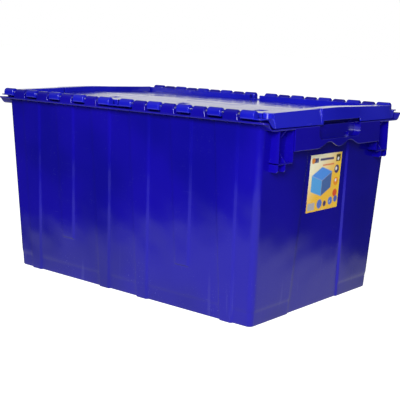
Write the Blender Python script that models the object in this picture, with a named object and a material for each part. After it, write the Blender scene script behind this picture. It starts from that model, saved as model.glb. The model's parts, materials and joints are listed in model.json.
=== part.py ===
"""Stacking crate with two attached, hinged lids.

A one-piece moulded crate body carries two identical lid halves. Each lid turns on two steel rods that run
through its knuckles and through the hinge tabs of the crate's long rims. Metres, +Z up, origin in the
middle of the base, +X along the crate's length, the front long side faces -Y.
"""

import math

import bmesh
import bpy
from mathutils import Matrix, Vector

MM = 0.001

# ---- Driving dimensions ------------------------------------------------------------------------------

LENGTH = 714.4 * MM  # over the two handle faces
WIDTH = 489.0 * MM  # over the two long rims
HEIGHT = 391.0 * MM  # floor to the top of the hinge knuckles

WALL = 2.8 * MM  # body wall
GAP = 0.3 * MM  # between pieces that touch
CLEARANCE = 1.2 * MM  # between pieces that move past each other
DRAFT = 2.9  # degrees that every body wall leans outwards
OVER = 5.0 * MM  # how far a cutter passes the face that it opens
ARC_STEPS = 5

# Hinge
KNUCKLE_RADIUS = 7.7 * MM
KNUCKLE_INSET = 1.3 * MM  # knuckles to the outer edge of the long rim
KNUCKLE_WIDTH = 30.4 * MM
KNUCKLE_CORNER = 3.0 * MM  # rounding of a knuckle's lower outer edge
KNUCKLES_PER_ROW = 5
CENTRE_SPACE = 27.7 * MM  # between the two rows of knuckles
ROW_END = 25.0 * MM  # last knuckle to the handle face
ROD_RADIUS = 2.0 * MM
ROD_PLAY = 0.35 * MM  # rod to the bore of a tab or a knuckle
ROD_INSET = 1.6 * MM  # each end of a rod inside its outer knuckles
ROD_SIDES = 16
TAB_FOOT = 36.0 * MM
TAB_HEAD = 26.0 * MM
TAB_DROP = 0.8 * MM  # tops of the tabs below the tops of the knuckles
TAB_SHOULDER = 3.4 * MM  # height over which a tab narrows, below the axis

# Rims of the body
RIM_TO_KNUCKLE = 3.3 * MM  # dark gap between the long rim and the knuckles above it
RIM_THICK = 3.3 * MM
END_SHELF_DROP = 23.9 * MM  # hinge axis to the top of the shelf on the short sides
END_SHELF_THICK = 2.8 * MM
SHELF_CORNER = 17.0 * MM  # run of the sloping rim at each corner, along the long side
CORNER_RUN = 35.0 * MM  # and along the short side
# Points of that rim between its two ends: in from the handle face, along the short side, and up
CORNER_RIM = ((3.0 * MM, 12.0 * MM, 4.5 * MM), (9.0 * MM, 25.0 * MM, 10.0 * MM))
CORNER_ROOT = ((5.0 * MM, 4.5 * MM), (10.0 * MM, 10.0 * MM))  # its inner edge: along and up
ROOT_INSET = 2.0 * MM  # inner edge of the rims inside the lid's end curb
ROOT_WIDTH = 18.0 * MM  # of the long rim where the corner joins it
GUSSET_THICK = 2.0 * MM
GUSSET_PITCH = 29.6 * MM
GUSSET_DEPTH = 9.0 * MM
GUSSET_SET_BACK = 8.5 * MM  # gusset to the outer edge of the rim

# Body walls
CORNER_RADIUS = 12.0 * MM
WALL_TO_HANDLE = 20.0 * MM  # outer wall at the shelf to the handle face
WALL_TO_RIM = 19.3 * MM  # outer wall below the long rim to the rim's outer edge
FOOT_HEIGHT = 29.0 * MM
FOOT_INSET = 1.0 * MM
FLOOR_THICK = 3.2 * MM
POCKET_DEPTH = 1.2 * MM  # of the panels in the underside
POCKET_MARGIN = 26.0 * MM
POCKET_RIB = 12.0 * MM
POCKETS_X = 4
POCKETS_Y = 3
BANDS_PER_SIDE = 6
BAND_MARGIN = 23.0 * MM  # band pattern to the corner at the rim
BAND_TOP = 51.0 * MM
BAND_FOOT = 24.0 * MM
BAND_PROUD = 3.0 * MM
BAND_FLANK = 2.1 * MM  # run of a band's sloping sides
BAND_LOW = 1.0 * MM  # height where the long bands stop
SHORT_BAND_FOOT = 87.0 * MM  # height where the short bands stop
PANEL_TOP = 132.0 * MM  # width of the sunk panel of a short side, at the rim
PANEL_FOOT = 172.0 * MM
PANEL_SINK = 4.0 * MM
PANEL_FLANK = 2.8 * MM  # run of the panel's sloping sides

# Handle and its brackets
HANDLE_DEPTH = 38.5 * MM  # long brackets' inner face: shelf underside to the handle's lower edge
HANDLE_SKIN = 3.0 * MM
GRIP_WIDTH = 149.6 * MM
GRIP_SIDE = 2.0 * MM  # side of the recess above the grip to the side of the grip
GRIP_SINK = 13.0 * MM  # of the recess above the grip
GRIP_LEDGE = 22.5 * MM  # shelf underside to the ledge of that recess
GRIP_CORNER = 12.0 * MM
GRIP_WAVE = 10.5 * MM
GRIP_STEPS = 20
BRACKET_WIDTH = 42.0 * MM
BRACKET_INSET = 50.0 * MM  # outer face of a bracket to the outer edge of the long rim
BRACKET_DEPTH = 59.5 * MM
BRACKET_SKIN = 2.6 * MM
BRACKET_WAIST = 14.0 * MM  # how far a bracket's middle rib is hollowed
WAIST_RISE = 17.0 * MM  # height over which the hollow deepens at each end
FOOT_RIB = (15.0 * MM, 14.0 * MM)  # depth and height of the rib below a bracket
SEAL_LUG = (8.0 * MM, 5.0 * MM, 10.0 * MM)
SEAL_HOLE = 2.4 * MM
SEAL_SIDES = 12
SEAL_INSET = 30.0 * MM  # seal lug to the side of the grip

# Lids
LID_THICK = 2.5 * MM
LID_RISE = 2.0 * MM  # crown of the two panels at the middle of the crate
SLANT = 1.2  # a sloping wall's thickness, measured straight down, over the wall's own
CURB_TOP = 2.7 * MM  # top of a lid's raised curb above the hinge axis
CURB_WIDTH = 8.0 * MM
CURB_LEAN = 1.0 * MM
CURB_LIP = 4.0 * MM  # how far the short edge's section reaches into the panel
CURB_TO_SLOT = 8.5 * MM  # outer face of the curb to the inner end of the slots for the tabs
CURB_NOTCH = 27.0 * MM
STRIP_THICK = 2.4 * MM  # of the strip that carries the knuckles
STRIP_REACH = 5.3 * MM  # strip past the outer face of the end curb
STRIP_INSET = 1.8 * MM  # strip's outer edge behind the knuckles' outer face
SLOT_TO_TAB = 2.1 * MM  # inner end of a slot to the round back of its tab
SKIRT_TO_HANDLE = 4.9 * MM  # skirt's lower edge to the handle face
SKIRT_RUN = 21.3 * MM
SKIRT_DROP = 22.8 * MM  # hinge axis to the skirt's lower edge
SKIRT_CHAMFER = 1.5 * MM
# Points of the lid's edge round a corner: in from the skirt, along the short side, and up
SKIRT_CORNER = ((3.5 * MM, 12.0 * MM, 5.5 * MM), (9.5 * MM, 22.5 * MM, 11.5 * MM))
HIGH_SKIRT_DROP = 15.9 * MM
HIGH_SKIRT_TOP = 5.3 * MM
HIGH_SKIRT_WIDTH = (-56.0 * MM, 79.0 * MM)
SEAM_STEP = 28.0 * MM  # how far a finger reaches past the middle of the crate
SEAM_FINGER = 132.0 * MM  # width of the two middle fingers
SEAM_END = 275.0 * MM  # middle of the crate to the step beside the high skirt
SEAM_GAP = 2.0 * MM
END_SEAM_GAP = 3.0 * MM
GATE_SIZE = 22.0 * MM
GATE_DEPTH = 0.8 * MM
GATE_PITCH = 193.0 * MM
GATE_OFFSET = -39.0 * MM
GATE_INSET = 84.0 * MM
RIB_DEPTH = 4.0 * MM
RIB_THICK = 2.0 * MM
LID_RIB_PITCH = 92.0 * MM

# Label
LABEL_SIDE = 110.0 * MM
LABEL_THICK = 0.35 * MM
LABEL_DROP = 16.6 * MM  # handle's lower edge to the label's upper edge

# ---- Places worked out from them ----------------------------------------------------------------------

HANDLE_X = LENGTH / 2
RIM_Y = WIDTH / 2
AXIS_Y = RIM_Y - KNUCKLE_INSET - KNUCKLE_RADIUS
AXIS_Z = HEIGHT - KNUCKLE_RADIUS
TAB_RADIUS = KNUCKLE_RADIUS - TAB_DROP
RIM_TOP = AXIS_Z - KNUCKLE_RADIUS - RIM_TO_KNUCKLE
RIM_UNDER = RIM_TOP - RIM_THICK
SHELF_TOP = AXIS_Z - END_SHELF_DROP
SHELF_UNDER = SHELF_TOP - END_SHELF_THICK
PANEL_EDGE_Z = AXIS_Z - KNUCKLE_RADIUS  # top of the lids' panels at their edges
STRIP_TOP = PANEL_EDGE_Z + STRIP_THICK
BODY_TOP = PANEL_EDGE_Z - LID_THICK - GAP
CURB_Z = AXIS_Z + CURB_TOP
SLOT_Y = AXIS_Y - TAB_RADIUS - SLOT_TO_TAB
CURB_Y = SLOT_Y - CURB_TO_SLOT
SKIRT_Y = RIM_Y - CORNER_RUN  # where the straight part of a short edge ends
SKIRT_X = HANDLE_X - SKIRT_TO_HANDLE
SKIRT_Z = AXIS_Z - SKIRT_DROP
CURB_X = SKIRT_X - SKIRT_RUN
LEAN = math.tan(math.radians(DRAFT))
HALF_X = HANDLE_X - WALL_TO_HANDLE - LEAN * SHELF_TOP  # outer half sizes of the body at the floor
HALF_Y = RIM_Y - WALL_TO_RIM - LEAN * RIM_UNDER
ROW_START = CENTRE_SPACE / 2
KNUCKLE_PITCH = (HANDLE_X - ROW_END - KNUCKLE_WIDTH - ROW_START) / (KNUCKLES_PER_ROW - 1)
BAND_PITCH = 2 * (HALF_X + LEAN * RIM_UNDER - BAND_MARGIN) / BANDS_PER_SIDE
HANDLE_Z = SHELF_UNDER - HANDLE_DEPTH
BRACKET_Z = SHELF_UNDER - BRACKET_DEPTH
LEDGE_Z = SHELF_UNDER - GRIP_LEDGE
BRACKET_OUT = RIM_Y - BRACKET_INSET
BRACKET_IN = BRACKET_OUT - BRACKET_WIDTH

# ---- Helpers ------------------------------------------------------------------------------------------


def clear_scene():
    for obj in list(bpy.data.objects):
        bpy.data.objects.remove(obj, do_unlink=True)


def collection(name, parent=None):
    made = bpy.data.collections.new(name)
    (parent or bpy.context.scene.collection).children.link(made)
    return made


def material(name, colour, roughness, metallic=0.0):
    made = bpy.data.materials.new(name)
    made.use_nodes = True
    shader = made.node_tree.nodes["Principled BSDF"]
    shader.inputs["Base Color"].default_value = (*colour, 1.0)
    shader.inputs["Roughness"].default_value = roughness
    shader.inputs["Metallic"].default_value = metallic
    return made


def mesh_object(name, mesh_data, home):
    """Closes a bmesh into an object with its faces pointing out."""
    mesh_data.normal_update()
    bmesh.ops.recalc_face_normals(mesh_data, faces=mesh_data.faces)
    mesh = bpy.data.meshes.new(name)
    mesh_data.to_mesh(mesh)
    mesh_data.free()
    made = bpy.data.objects.new(name, mesh)
    home.objects.link(made)
    return made


def block(home, x, y, z, name="block"):
    """A box between two values along each axis."""
    shape = bmesh.new()
    bmesh.ops.create_cube(shape, size=1.0)
    sides = (x, y, z)
    size = [max(pair) - min(pair) for pair in sides]
    middle = [sum(pair) / 2 for pair in sides]
    bmesh.ops.scale(shape, vec=size, verts=shape.verts)
    bmesh.ops.translate(shape, vec=middle, verts=shape.verts)
    return mesh_object(name, shape, home)


def tapered_block(home, low, high, radius=0.0, name="tapered"):
    """A block whose half sizes go from low = (x, y, z) to high, with its upright edges rounded."""
    shape = bmesh.new()
    bmesh.ops.create_cube(shape, size=2.0)
    for vert in shape.verts:
        half_x, half_y, level = high if vert.co.z > 0 else low
        vert.co = Vector((vert.co.x * half_x, vert.co.y * half_y, level))
    if radius:
        upright = [edge for edge in shape.edges if abs(edge.verts[0].co.z - edge.verts[1].co.z) > GAP]
        bmesh.ops.bevel(shape, geom=upright, offset=radius, segments=ARC_STEPS, profile=0.5, affect="EDGES")
    return mesh_object(name, shape, home)


def prism(home, outline, depth, place, name="prism"):
    """An outline of (u, v) points pushed from depth[0] to depth[1]; place turns (u, v, w) into (x, y, z)."""
    shape = bmesh.new()
    face = shape.faces.new([shape.verts.new(place(u, v, depth[0])) for u, v in outline])
    pushed = bmesh.ops.extrude_face_region(shape, geom=[face])["geom"]
    shift = Vector(place(0, 0, depth[1])) - Vector(place(0, 0, depth[0]))
    moved = [item for item in pushed if isinstance(item, bmesh.types.BMVert)]
    bmesh.ops.translate(shape, vec=shift, verts=moved)
    return mesh_object(name, shape, home)


def along_x(u, v, w):
    return (w, u, v)


def along_y(u, v, w):
    return (u, w, v)


def along_z(u, v, w):
    return (u, v, w)


def cylinder(home, radius, length, sides, place, name):
    """A closed cylinder along Z, put where the matrix place says."""
    shape = bmesh.new()
    ends = {"radius1": radius, "radius2": radius, "depth": length}
    bmesh.ops.create_cone(shape, cap_ends=True, segments=sides, matrix=place, **ends)
    return mesh_object(name, shape, home)


def cylinder_x(home, radius, x, y, z, name="bore"):
    place = Matrix.Translation(((x[0] + x[1]) / 2, y, z)) @ Matrix.Rotation(math.pi / 2, 4, "Y")
    return cylinder(home, radius, x[1] - x[0], ROD_SIDES, place, name)


def slab(home, points, drop, name="slab"):
    """A flat-sided piece between the polygon through points and the same polygon lowered by drop."""
    shape = bmesh.new()
    face = shape.faces.new([shape.verts.new(point) for point in points])
    pushed = bmesh.ops.extrude_face_region(shape, geom=[face])["geom"]
    moved = [item for item in pushed if isinstance(item, bmesh.types.BMVert)]
    bmesh.ops.translate(shape, vec=(0, 0, -drop), verts=moved)
    return mesh_object(name, shape, home)


def arc(centre, radius, start, end, steps=ARC_STEPS):
    """Points of a circular arc from angle start to angle end, in degrees."""
    turns = [math.radians(start + (end - start) * i / steps) for i in range(steps + 1)]
    return [(centre[0] + radius * math.cos(t), centre[1] + radius * math.sin(t)) for t in turns]


def boolean(obj, operation, operand):
    made = obj.modifiers.new(operation.title(), "BOOLEAN")
    made.operation = operation
    made.solver = "EXACT"
    made.operand_type = "COLLECTION"
    made.collection = operand
    made.use_self = True


def hide_helpers(home):
    for helper in home.all_objects:
        helper.hide_render = True
        helper.display_type = "WIRE"


def mirrored(low, high):
    """The same span on both sides of zero."""
    return ((low, high), (-high, -low))


def wall_x(level):
    """Outer face of a short side at a height."""
    return HALF_X + LEAN * level


def wall_y(level):
    return HALF_Y + LEAN * level


def knuckle_starts():
    """Lower x of each knuckle of one long side, from end to end."""
    right = [ROW_START + i * KNUCKLE_PITCH for i in range(KNUCKLES_PER_ROW)]
    return [-x - KNUCKLE_WIDTH for x in reversed(right)] + right


def tab_centres():
    """Middle of each tab: halfway between two knuckles of one row."""
    half_step = (KNUCKLE_PITCH + KNUCKLE_WIDTH) / 2
    right = [ROW_START + i * KNUCKLE_PITCH + half_step for i in range(KNUCKLES_PER_ROW - 1)]
    return [-x for x in reversed(right)] + right


# ---- Crate body ---------------------------------------------------------------------------------------


def body_shell(home):
    """The foot and the leaning walls, still solid."""
    foot_top = FOOT_HEIGHT + CLEARANCE
    inset = FOOT_INSET
    low = (wall_x(0) - inset, wall_y(0) - inset, 0)
    high = (wall_x(foot_top) - inset, wall_y(foot_top) - inset, foot_top)
    foot = tapered_block(home, low, high, CORNER_RADIUS, "foot")
    low = (wall_x(FOOT_HEIGHT), wall_y(FOOT_HEIGHT), FOOT_HEIGHT)
    walls = tapered_block(home, low, (wall_x(BODY_TOP), wall_y(BODY_TOP), BODY_TOP), CORNER_RADIUS)
    return foot, walls


def band(home, middle, side, sink, foot):
    """One raised band of a long side: wide at the rim and narrow at its foot. sink moves it into the wall."""
    levels = (foot, RIM_UNDER + GAP)
    widths = [BAND_FOOT + (BAND_TOP - BAND_FOOT) * level / RIM_UNDER for level in levels]
    shape = bmesh.new()
    bmesh.ops.create_cube(shape, size=2.0)
    for vert in shape.verts:
        upper = vert.co.z > 0
        level = levels[upper]
        outer = wall_y(level) + BAND_PROUD - sink
        inner = wall_y(level) - 2 * WALL - sink
        half = widths[upper] / 2 - (sink if vert.co.y > 0 else 0)
        depth = outer if vert.co.y > 0 else inner
        flank = 0 if vert.co.y > 0 else BAND_FLANK
        vert.co = Vector((middle + (half + flank) * vert.co.x, side * depth, level))
    return mesh_object("band", shape, home)


def bands(home, sink=0.0):
    for index in range(BANDS_PER_SIDE):
        middle = (index - (BANDS_PER_SIDE - 1) / 2) * BAND_PITCH
        short = index in (1, BANDS_PER_SIDE - 2)
        foot = SHORT_BAND_FOOT + sink if short else BAND_LOW + (FLOOR_THICK if sink else 0)
        for side in (-1, 1):
            band(home, middle, side, sink, foot)


def sunk_panel(home, grow):
    """The shallow panel in the middle of each short side; grow makes the matching bulge inside the wall."""
    top = SHELF_UNDER
    levels = (-OVER, top)
    for side in (-1, 1):
        shape = bmesh.new()
        bmesh.ops.create_cube(shape, size=2.0)
        for vert in shape.verts:
            level = levels[vert.co.z > 0]
            half = (PANEL_FOOT + (PANEL_TOP - PANEL_FOOT) * level / RIM_UNDER) / 2 + grow
            deep = wall_x(level) - PANEL_SINK - grow
            reach = deep if vert.co.x < 0 else wall_x(level) + OVER
            flank = PANEL_FLANK if vert.co.x > 0 else 0
            vert.co = Vector((side * reach, (half + flank) * vert.co.y, level))
        mesh_object("sunk_panel", shape, home)


def cavity(home, bulges):
    """The room inside the body: the outer form moved in by the wall."""
    low = (wall_x(FLOOR_THICK) - WALL, wall_y(FLOOR_THICK) - WALL, FLOOR_THICK)
    top = BODY_TOP + OVER
    high = (wall_x(top) - WALL, wall_y(top) - WALL, top)
    room = tapered_block(home, low, high, CORNER_RADIUS - WALL, "cavity")
    sunk_panel(bulges, WALL)
    boolean(room, "DIFFERENCE", bulges)


def rims(home):
    """Long rims, end shelves and the sloping corners that join them."""
    reach = HANDLE_X - SHELF_CORNER
    for y in mirrored(wall_y(RIM_UNDER) - WALL, RIM_Y):
        block(home, (-reach, reach), y, (RIM_UNDER, RIM_TOP))
    for x in mirrored(wall_x(SHELF_UNDER) - WALL, HANDLE_X):
        block(home, x, (-SKIRT_Y, SKIRT_Y), (SHELF_UNDER, SHELF_TOP))
    root_x = CURB_X - LID_THICK - ROOT_INSET
    edge = [(HANDLE_X, SKIRT_Y, SHELF_TOP)]
    edge += [(HANDLE_X - x, SKIRT_Y + y, SHELF_TOP + z) for x, y, z in CORNER_RIM]
    edge += [(reach - GAP, RIM_Y, RIM_TOP)]
    root = [(root_x, SKIRT_Y, SHELF_TOP)]
    root += [(root_x, SKIRT_Y + y, SHELF_TOP + z) for y, z in CORNER_ROOT]
    root += [(root_x, RIM_Y - ROOT_WIDTH, RIM_TOP)]
    faces = []
    for i in range(len(edge) - 1):
        faces += [(edge[i], edge[i + 1], root[i]), (root[i], edge[i + 1], root[i + 1])]
    for side_x in (-1, 1):
        for side_y in (-1, 1):
            for corners in faces:
                slab(home, [(side_x * x, side_y * y, z) for x, y, z in corners], RIM_THICK, "corner_rim")


def gussets(home):
    """Small webs below the long rims."""
    tip = RIM_Y - GUSSET_SET_BACK
    count = int((HANDLE_X - ROW_END) / GUSSET_PITCH)
    for side in (-1, 1):
        for index in range(-count, count + 1):
            x = index * GUSSET_PITCH
            root = wall_y(RIM_UNDER) - WALL / 2
            low = RIM_UNDER - GUSSET_DEPTH
            outline = [
                (side * root, RIM_UNDER + GAP),
                (side * root, low),
                (side * (wall_y(low) + GAP), low),
                (side * tip, RIM_UNDER - GUSSET_DEPTH / 3),
                (side * tip, RIM_UNDER + GAP),
            ]
            prism(home, outline, (x - GUSSET_THICK / 2, x + GUSSET_THICK / 2), along_x, "gusset")


def tab_outline():
    """A hinge tab seen from the side: upright outside and rounded about the hinge axis."""
    rounded = arc((0, 0), TAB_RADIUS, 0, 180, 2 * ARC_STEPS)
    low = RIM_TOP - AXIS_Z - GAP
    outline = [(RIM_Y - AXIS_Y - CLEARANCE, low), (TAB_RADIUS, -TAB_SHOULDER)]
    return outline + rounded[1:-1] + [(-TAB_RADIUS, 0), (-TAB_RADIUS, low)]


def tabs(home, trims):
    """Hinge tabs of both long rims. Their upper corners are cut slanting."""
    for side in (-1, 1):
        outline = [(side * (AXIS_Y + y), AXIS_Z + z) for y, z in tab_outline()]
        for x in tab_centres():
            prism(home, outline, (x - TAB_FOOT / 2, x + TAB_FOOT / 2), along_x, "tab")
    slope = (TAB_FOOT - TAB_HEAD) / 2
    low = AXIS_Z - TAB_SHOULDER
    high = AXIS_Z + TAB_RADIUS + CLEARANCE
    for x in tab_centres():
        for turn in (-1, 1):
            foot = x + turn * TAB_FOOT / 2
            outline = [(foot, low), (foot + turn * CLEARANCE, low), (foot + turn * CLEARANCE, high)]
            outline += [(foot - turn * slope, high)]
            for y in mirrored(AXIS_Y - KNUCKLE_RADIUS - OVER, RIM_Y + CLEARANCE):
                prism(trims, outline, y, along_y, "tab_trim")


def grip_edge():
    """Lower edge of the grip, as (y, lift): two finger waves, each a squared sine."""
    half = GRIP_WIDTH / 2
    shares = [index / GRIP_STEPS for index in range(GRIP_STEPS + 1)]
    return [(half * (2 * share - 1), GRIP_WAVE * math.sin(2 * math.pi * share) ** 2) for share in shares]


def handle(home, cuts, side):
    """The hand-hold of one short side: a deep panel, hollow behind and open below."""
    inner = wall_x(BRACKET_Z) - PANEL_SINK - WALL
    far = BRACKET_IN + BRACKET_SKIN
    outer = (side * inner, side * HANDLE_X)
    block(home, outer, (-far, far), (HANDLE_Z, SHELF_UNDER + GAP), "handle")
    skin = HANDLE_X - HANDLE_SKIN
    room = (side * (wall_x(SHELF_UNDER) + GAP), side * skin)
    half = GRIP_WIDTH / 2
    for y in mirrored(half + HANDLE_SKIN, BRACKET_IN - GAP):
        block(cuts, room, y, (HANDLE_Z - OVER, SHELF_UNDER), "handle_room")
    block(cuts, room, (-half, half), (HANDLE_Z - OVER, LEDGE_Z - HANDLE_SKIN), "grip_room")
    waves = grip_edge()
    outline = [(y, HANDLE_Z + lift) for y, lift in waves]
    outline += [(half, HANDLE_Z - OVER), (-half, HANDLE_Z - OVER)]
    cut_depth = (side * (skin - OVER), side * (HANDLE_X + OVER))
    prism(cuts, outline, cut_depth, along_x, "grip_wave")
    corner = GRIP_CORNER
    edge = half - GRIP_SIDE
    recess = [(-edge, SHELF_TOP + GAP + OVER), (edge, SHELF_TOP + GAP + OVER)]
    recess += arc((edge - corner, LEDGE_Z + corner), corner, 0, -90)
    recess += arc((-edge + corner, LEDGE_Z + corner), corner, -90, -180)
    prism(cuts, recess, (side * (HANDLE_X - GRIP_SINK), side * (HANDLE_X + OVER)), along_x, "grip_recess")


def bracket(home, cuts, side_x, side_y):
    """A box bracket, open outwards, with a hollowed middle rib and two short ribs below."""
    inner = wall_x(BRACKET_Z) - WALL
    outer = side_x * HANDLE_X
    y_in, y_out = BRACKET_IN, BRACKET_OUT
    block(home, (side_x * inner, outer), (side_y * y_in, side_y * y_out), (BRACKET_Z, SHELF_UNDER + GAP))
    skin = BRACKET_SKIN
    middle = (y_in + y_out) / 2
    depth = (side_x * (wall_x(SHELF_UNDER) + GAP), side_x * (HANDLE_X + OVER))
    for span in ((y_in + skin, middle - skin / 2), (middle + skin / 2, y_out - skin)):
        y = (side_y * span[0], side_y * span[1])
        block(cuts, depth, y, (BRACKET_Z + skin, SHELF_UNDER), "bracket_room")
    waist = HANDLE_X - BRACKET_WAIST
    low, high = BRACKET_Z + skin, SHELF_UNDER
    outline = [(HANDLE_X + OVER, low), (HANDLE_X - GAP, low), (waist, low + WAIST_RISE)]
    outline += [(waist, high - WAIST_RISE), (HANDLE_X - GAP, high), (HANDLE_X + OVER, high)]
    hollow = [(side_x * x, z) for x, z in outline]
    rib = (side_y * (middle - skin / 2 - GAP), side_y * (middle + skin / 2 + GAP))
    prism(cuts, hollow, rib, along_y, "rib_hollow")
    depth, height = FOOT_RIB
    for y in (y_out - skin / 2, middle):
        span = (side_y * (y - skin / 2), side_y * (y + skin / 2))
        outer = wall_x(BRACKET_Z) + depth
        block(home, (side_x * inner, side_x * outer), span, (BRACKET_Z - height, BRACKET_Z + GAP), "foot_rib")


def seal_lug(home, cuts, side):
    """A small eye for a security seal in the recess above the grip."""
    depth, thick, height = SEAL_LUG
    inner = HANDLE_X - GRIP_SINK - GAP
    y = side * (GRIP_WIDTH / 2 - SEAL_INSET)
    across = (y - thick / 2, y + thick / 2)
    block(home, (side * inner, side * (inner + depth)), across, (LEDGE_Z - GAP, LEDGE_Z + height))
    place = Matrix.Translation((side * (inner + depth / 2), y, LEDGE_Z + height / 2))
    cylinder(cuts, SEAL_HOLE / 2, 2 * thick, SEAL_SIDES, place @ Matrix.Rotation(math.pi / 2, 4, "X"), "seal_hole")


def underside(cuts):
    """Shallow panels between the ribs of the base."""
    reach_x = wall_x(0) - POCKET_MARGIN
    reach_y = wall_y(0) - POCKET_MARGIN
    step_x = (2 * reach_x + POCKET_RIB) / POCKETS_X
    step_y = (2 * reach_y + POCKET_RIB) / POCKETS_Y
    for i in range(POCKETS_X):
        for j in range(POCKETS_Y):
            x = -reach_x + i * step_x
            y = -reach_y + j * step_y
            across = (y, y + step_y - POCKET_RIB)
            block(cuts, (x, x + step_x - POCKET_RIB), across, (-OVER, POCKET_DEPTH), "pocket")


def rod_spans():
    """The x range of the two rods of one long side."""
    low = ROW_START + ROD_INSET
    high = HANDLE_X - ROW_END - ROD_INSET
    return ((-high, -low), (low, high))


def crate_body(home, helpers, plastic):
    """Sink the end panels, add what stands proud of the walls, then hollow the whole form."""
    panels = collection("crate_body_panels", helpers)
    solids = collection("crate_body_solids", helpers)
    cuts = collection("crate_body_cuts", helpers)
    bulges = collection("crate_body_bulges", helpers)
    foot, shell = body_shell(solids)
    solids.objects.unlink(shell)
    home.objects.link(shell)
    shell.name = "crate_body"
    sunk_panel(panels, 0)
    bands(solids)
    rims(solids)
    gussets(solids)
    tabs(solids, cuts)
    for side_x in (-1, 1):
        handle(solids, cuts, side_x)
        seal_lug(solids, cuts, side_x)
        for side_y in (-1, 1):
            bracket(solids, cuts, side_x, side_y)
    cavity(cuts, bulges)
    bands(cuts, WALL)
    underside(cuts)
    for span in rod_spans():
        for side in (-1, 1):
            longer = (span[0] - ROD_INSET / 2, span[1] + ROD_INSET / 2)
            cylinder_x(cuts, ROD_RADIUS + ROD_PLAY, longer, side * AXIS_Y, AXIS_Z)
    boolean(foot, "DIFFERENCE", panels)
    boolean(shell, "DIFFERENCE", panels)
    boolean(shell, "UNION", solids)
    boolean(shell, "DIFFERENCE", cuts)
    shell.data.materials.append(plastic)
    return shell


# ---- Lids ---------------------------------------------------------------------------------------------
# The rear lid is built in place at +Y. The front lid is the same moulding turned half round.


def panel_height(y):
    """Top of the lid's panel: highest at the middle of the crate and falling evenly to the curb."""
    edge = CURB_Y - CURB_WIDTH
    return PANEL_EDGE_Z + LID_RISE * (1 - abs(y) / edge)


def lid_panel(home):
    edge = CURB_Y - CURB_WIDTH + GAP
    far = -(HIGH_SKIRT_WIDTH[1] + SEAM_STEP)
    top = [(y, panel_height(y)) for y in (far, 0, edge)]
    under = [(y, z - LID_THICK) for y, z in reversed(top)]
    reach = CURB_X - CURB_WIDTH + GAP
    prism(home, top + under, (-reach, reach), along_x, "panel")


def lid_curb(home, cuts):
    """The raised curb along the hinge, with a notch between the two rows of knuckles."""
    inner = CURB_Y - CURB_WIDTH
    low = PANEL_EDGE_Z - LID_THICK
    block(home, (-CURB_X, CURB_X), (inner, CURB_Y), (low, CURB_Z))
    notch = CURB_NOTCH / 2
    block(cuts, (-notch, notch), (inner - OVER, CURB_Y + OVER), (STRIP_TOP, CURB_Z + OVER))
    for x in mirrored(notch + LID_THICK, CURB_X - CURB_WIDTH):
        groove = (inner + LID_THICK, CURB_Y - LID_THICK)
        block(cuts, x, groove, (low - OVER, CURB_Z - LID_THICK), "groove")


def lid_strip(home, cuts):
    """The low strip outside the curb, slotted where the tabs of the crate come through."""
    reach = CURB_X + STRIP_REACH
    outer = AXIS_Y + KNUCKLE_RADIUS - STRIP_INSET
    block(home, (-reach, reach), (CURB_Y - GAP, outer), (PANEL_EDGE_Z, STRIP_TOP))
    slot = (KNUCKLE_PITCH - KNUCKLE_WIDTH) / 2
    for x in tab_centres():
        across = (SLOT_Y, RIM_Y + OVER)
        block(cuts, (x - slot, x + slot), across, (RIM_TOP, AXIS_Z + KNUCKLE_RADIUS + OVER), "slot")


def knuckle_outline():
    """A knuckle seen from the side: round above the axis, square below with one rounded corner."""
    radius = KNUCKLE_RADIUS
    corner = KNUCKLE_CORNER
    outline = arc((0, 0), radius, 0, 180, 2 * ARC_STEPS)
    outline += [(-radius, -radius)]
    outline += arc((radius - corner, corner - radius), corner, -90, 0, 3)[:-1]
    return outline + [(radius, corner - radius)]


def knuckles(home):
    outline = [(AXIS_Y + y, AXIS_Z + z) for y, z in knuckle_outline()]
    for x in knuckle_starts():
        prism(home, outline, (x, x + KNUCKLE_WIDTH), along_x, "knuckle")


def skirt_section(deep):
    """Section of a lid's short edge, as (x, z): panel, raised rim and hanging skirt."""
    thick = LID_THICK
    slanting = SLANT * thick
    inner = CURB_X - CURB_WIDTH
    panel = PANEL_EDGE_Z
    outer_side = [(inner - CURB_LIP, panel), (inner, panel), (inner + CURB_LEAN, CURB_Z), (CURB_X, CURB_Z)]
    inner_side = [(inner + slanting, CURB_Z - thick), (inner + thick, panel - thick)]
    inner_side += [(inner - CURB_LIP, panel - thick)]
    if deep:
        skirt = [(SKIRT_X, SKIRT_Z + SKIRT_CHAMFER), (SKIRT_X, SKIRT_Z), (SKIRT_X - thick, SKIRT_Z)]
        skirt += [(CURB_X - SKIRT_CHAMFER, CURB_Z - slanting)]
    else:
        top = AXIS_Z + HIGH_SKIRT_TOP
        low = AXIS_Z - HIGH_SKIRT_DROP
        skirt = [(SKIRT_X, top), (SKIRT_X, low), (SKIRT_X - thick, low), (SKIRT_X - thick, top - slanting)]
        skirt += [(CURB_X, CURB_Z - thick)]
    return outer_side + skirt + inner_side


def lid_ends(home):
    """Deep skirts at both ends, the high middle part at the far end and the wall where they meet."""
    low, high = HIGH_SKIRT_WIDTH
    deep = skirt_section(True)
    raised = skirt_section(False)
    turned = [(-x, z) for x, z in deep]
    prism(home, deep, (high - OVER, SKIRT_Y), along_y, "skirt")
    prism(home, turned, (-low, SKIRT_Y), along_y, "skirt")
    prism(home, [(-x, z) for x, z in raised], (-high - OVER, -low), along_y, "high_skirt")
    inner = CURB_X - LID_THICK
    cheek = [(inner, CURB_Z - GAP), (SKIRT_X, AXIS_Z + HIGH_SKIRT_TOP), (SKIRT_X, SKIRT_Z)]
    cheek += [(SKIRT_X - LID_THICK, SKIRT_Z), (inner, CURB_Z - SLANT * LID_THICK)]
    prism(home, [(-x, z) for x, z in cheek], (-low - LID_THICK, -low), along_y, "cheek")


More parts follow.
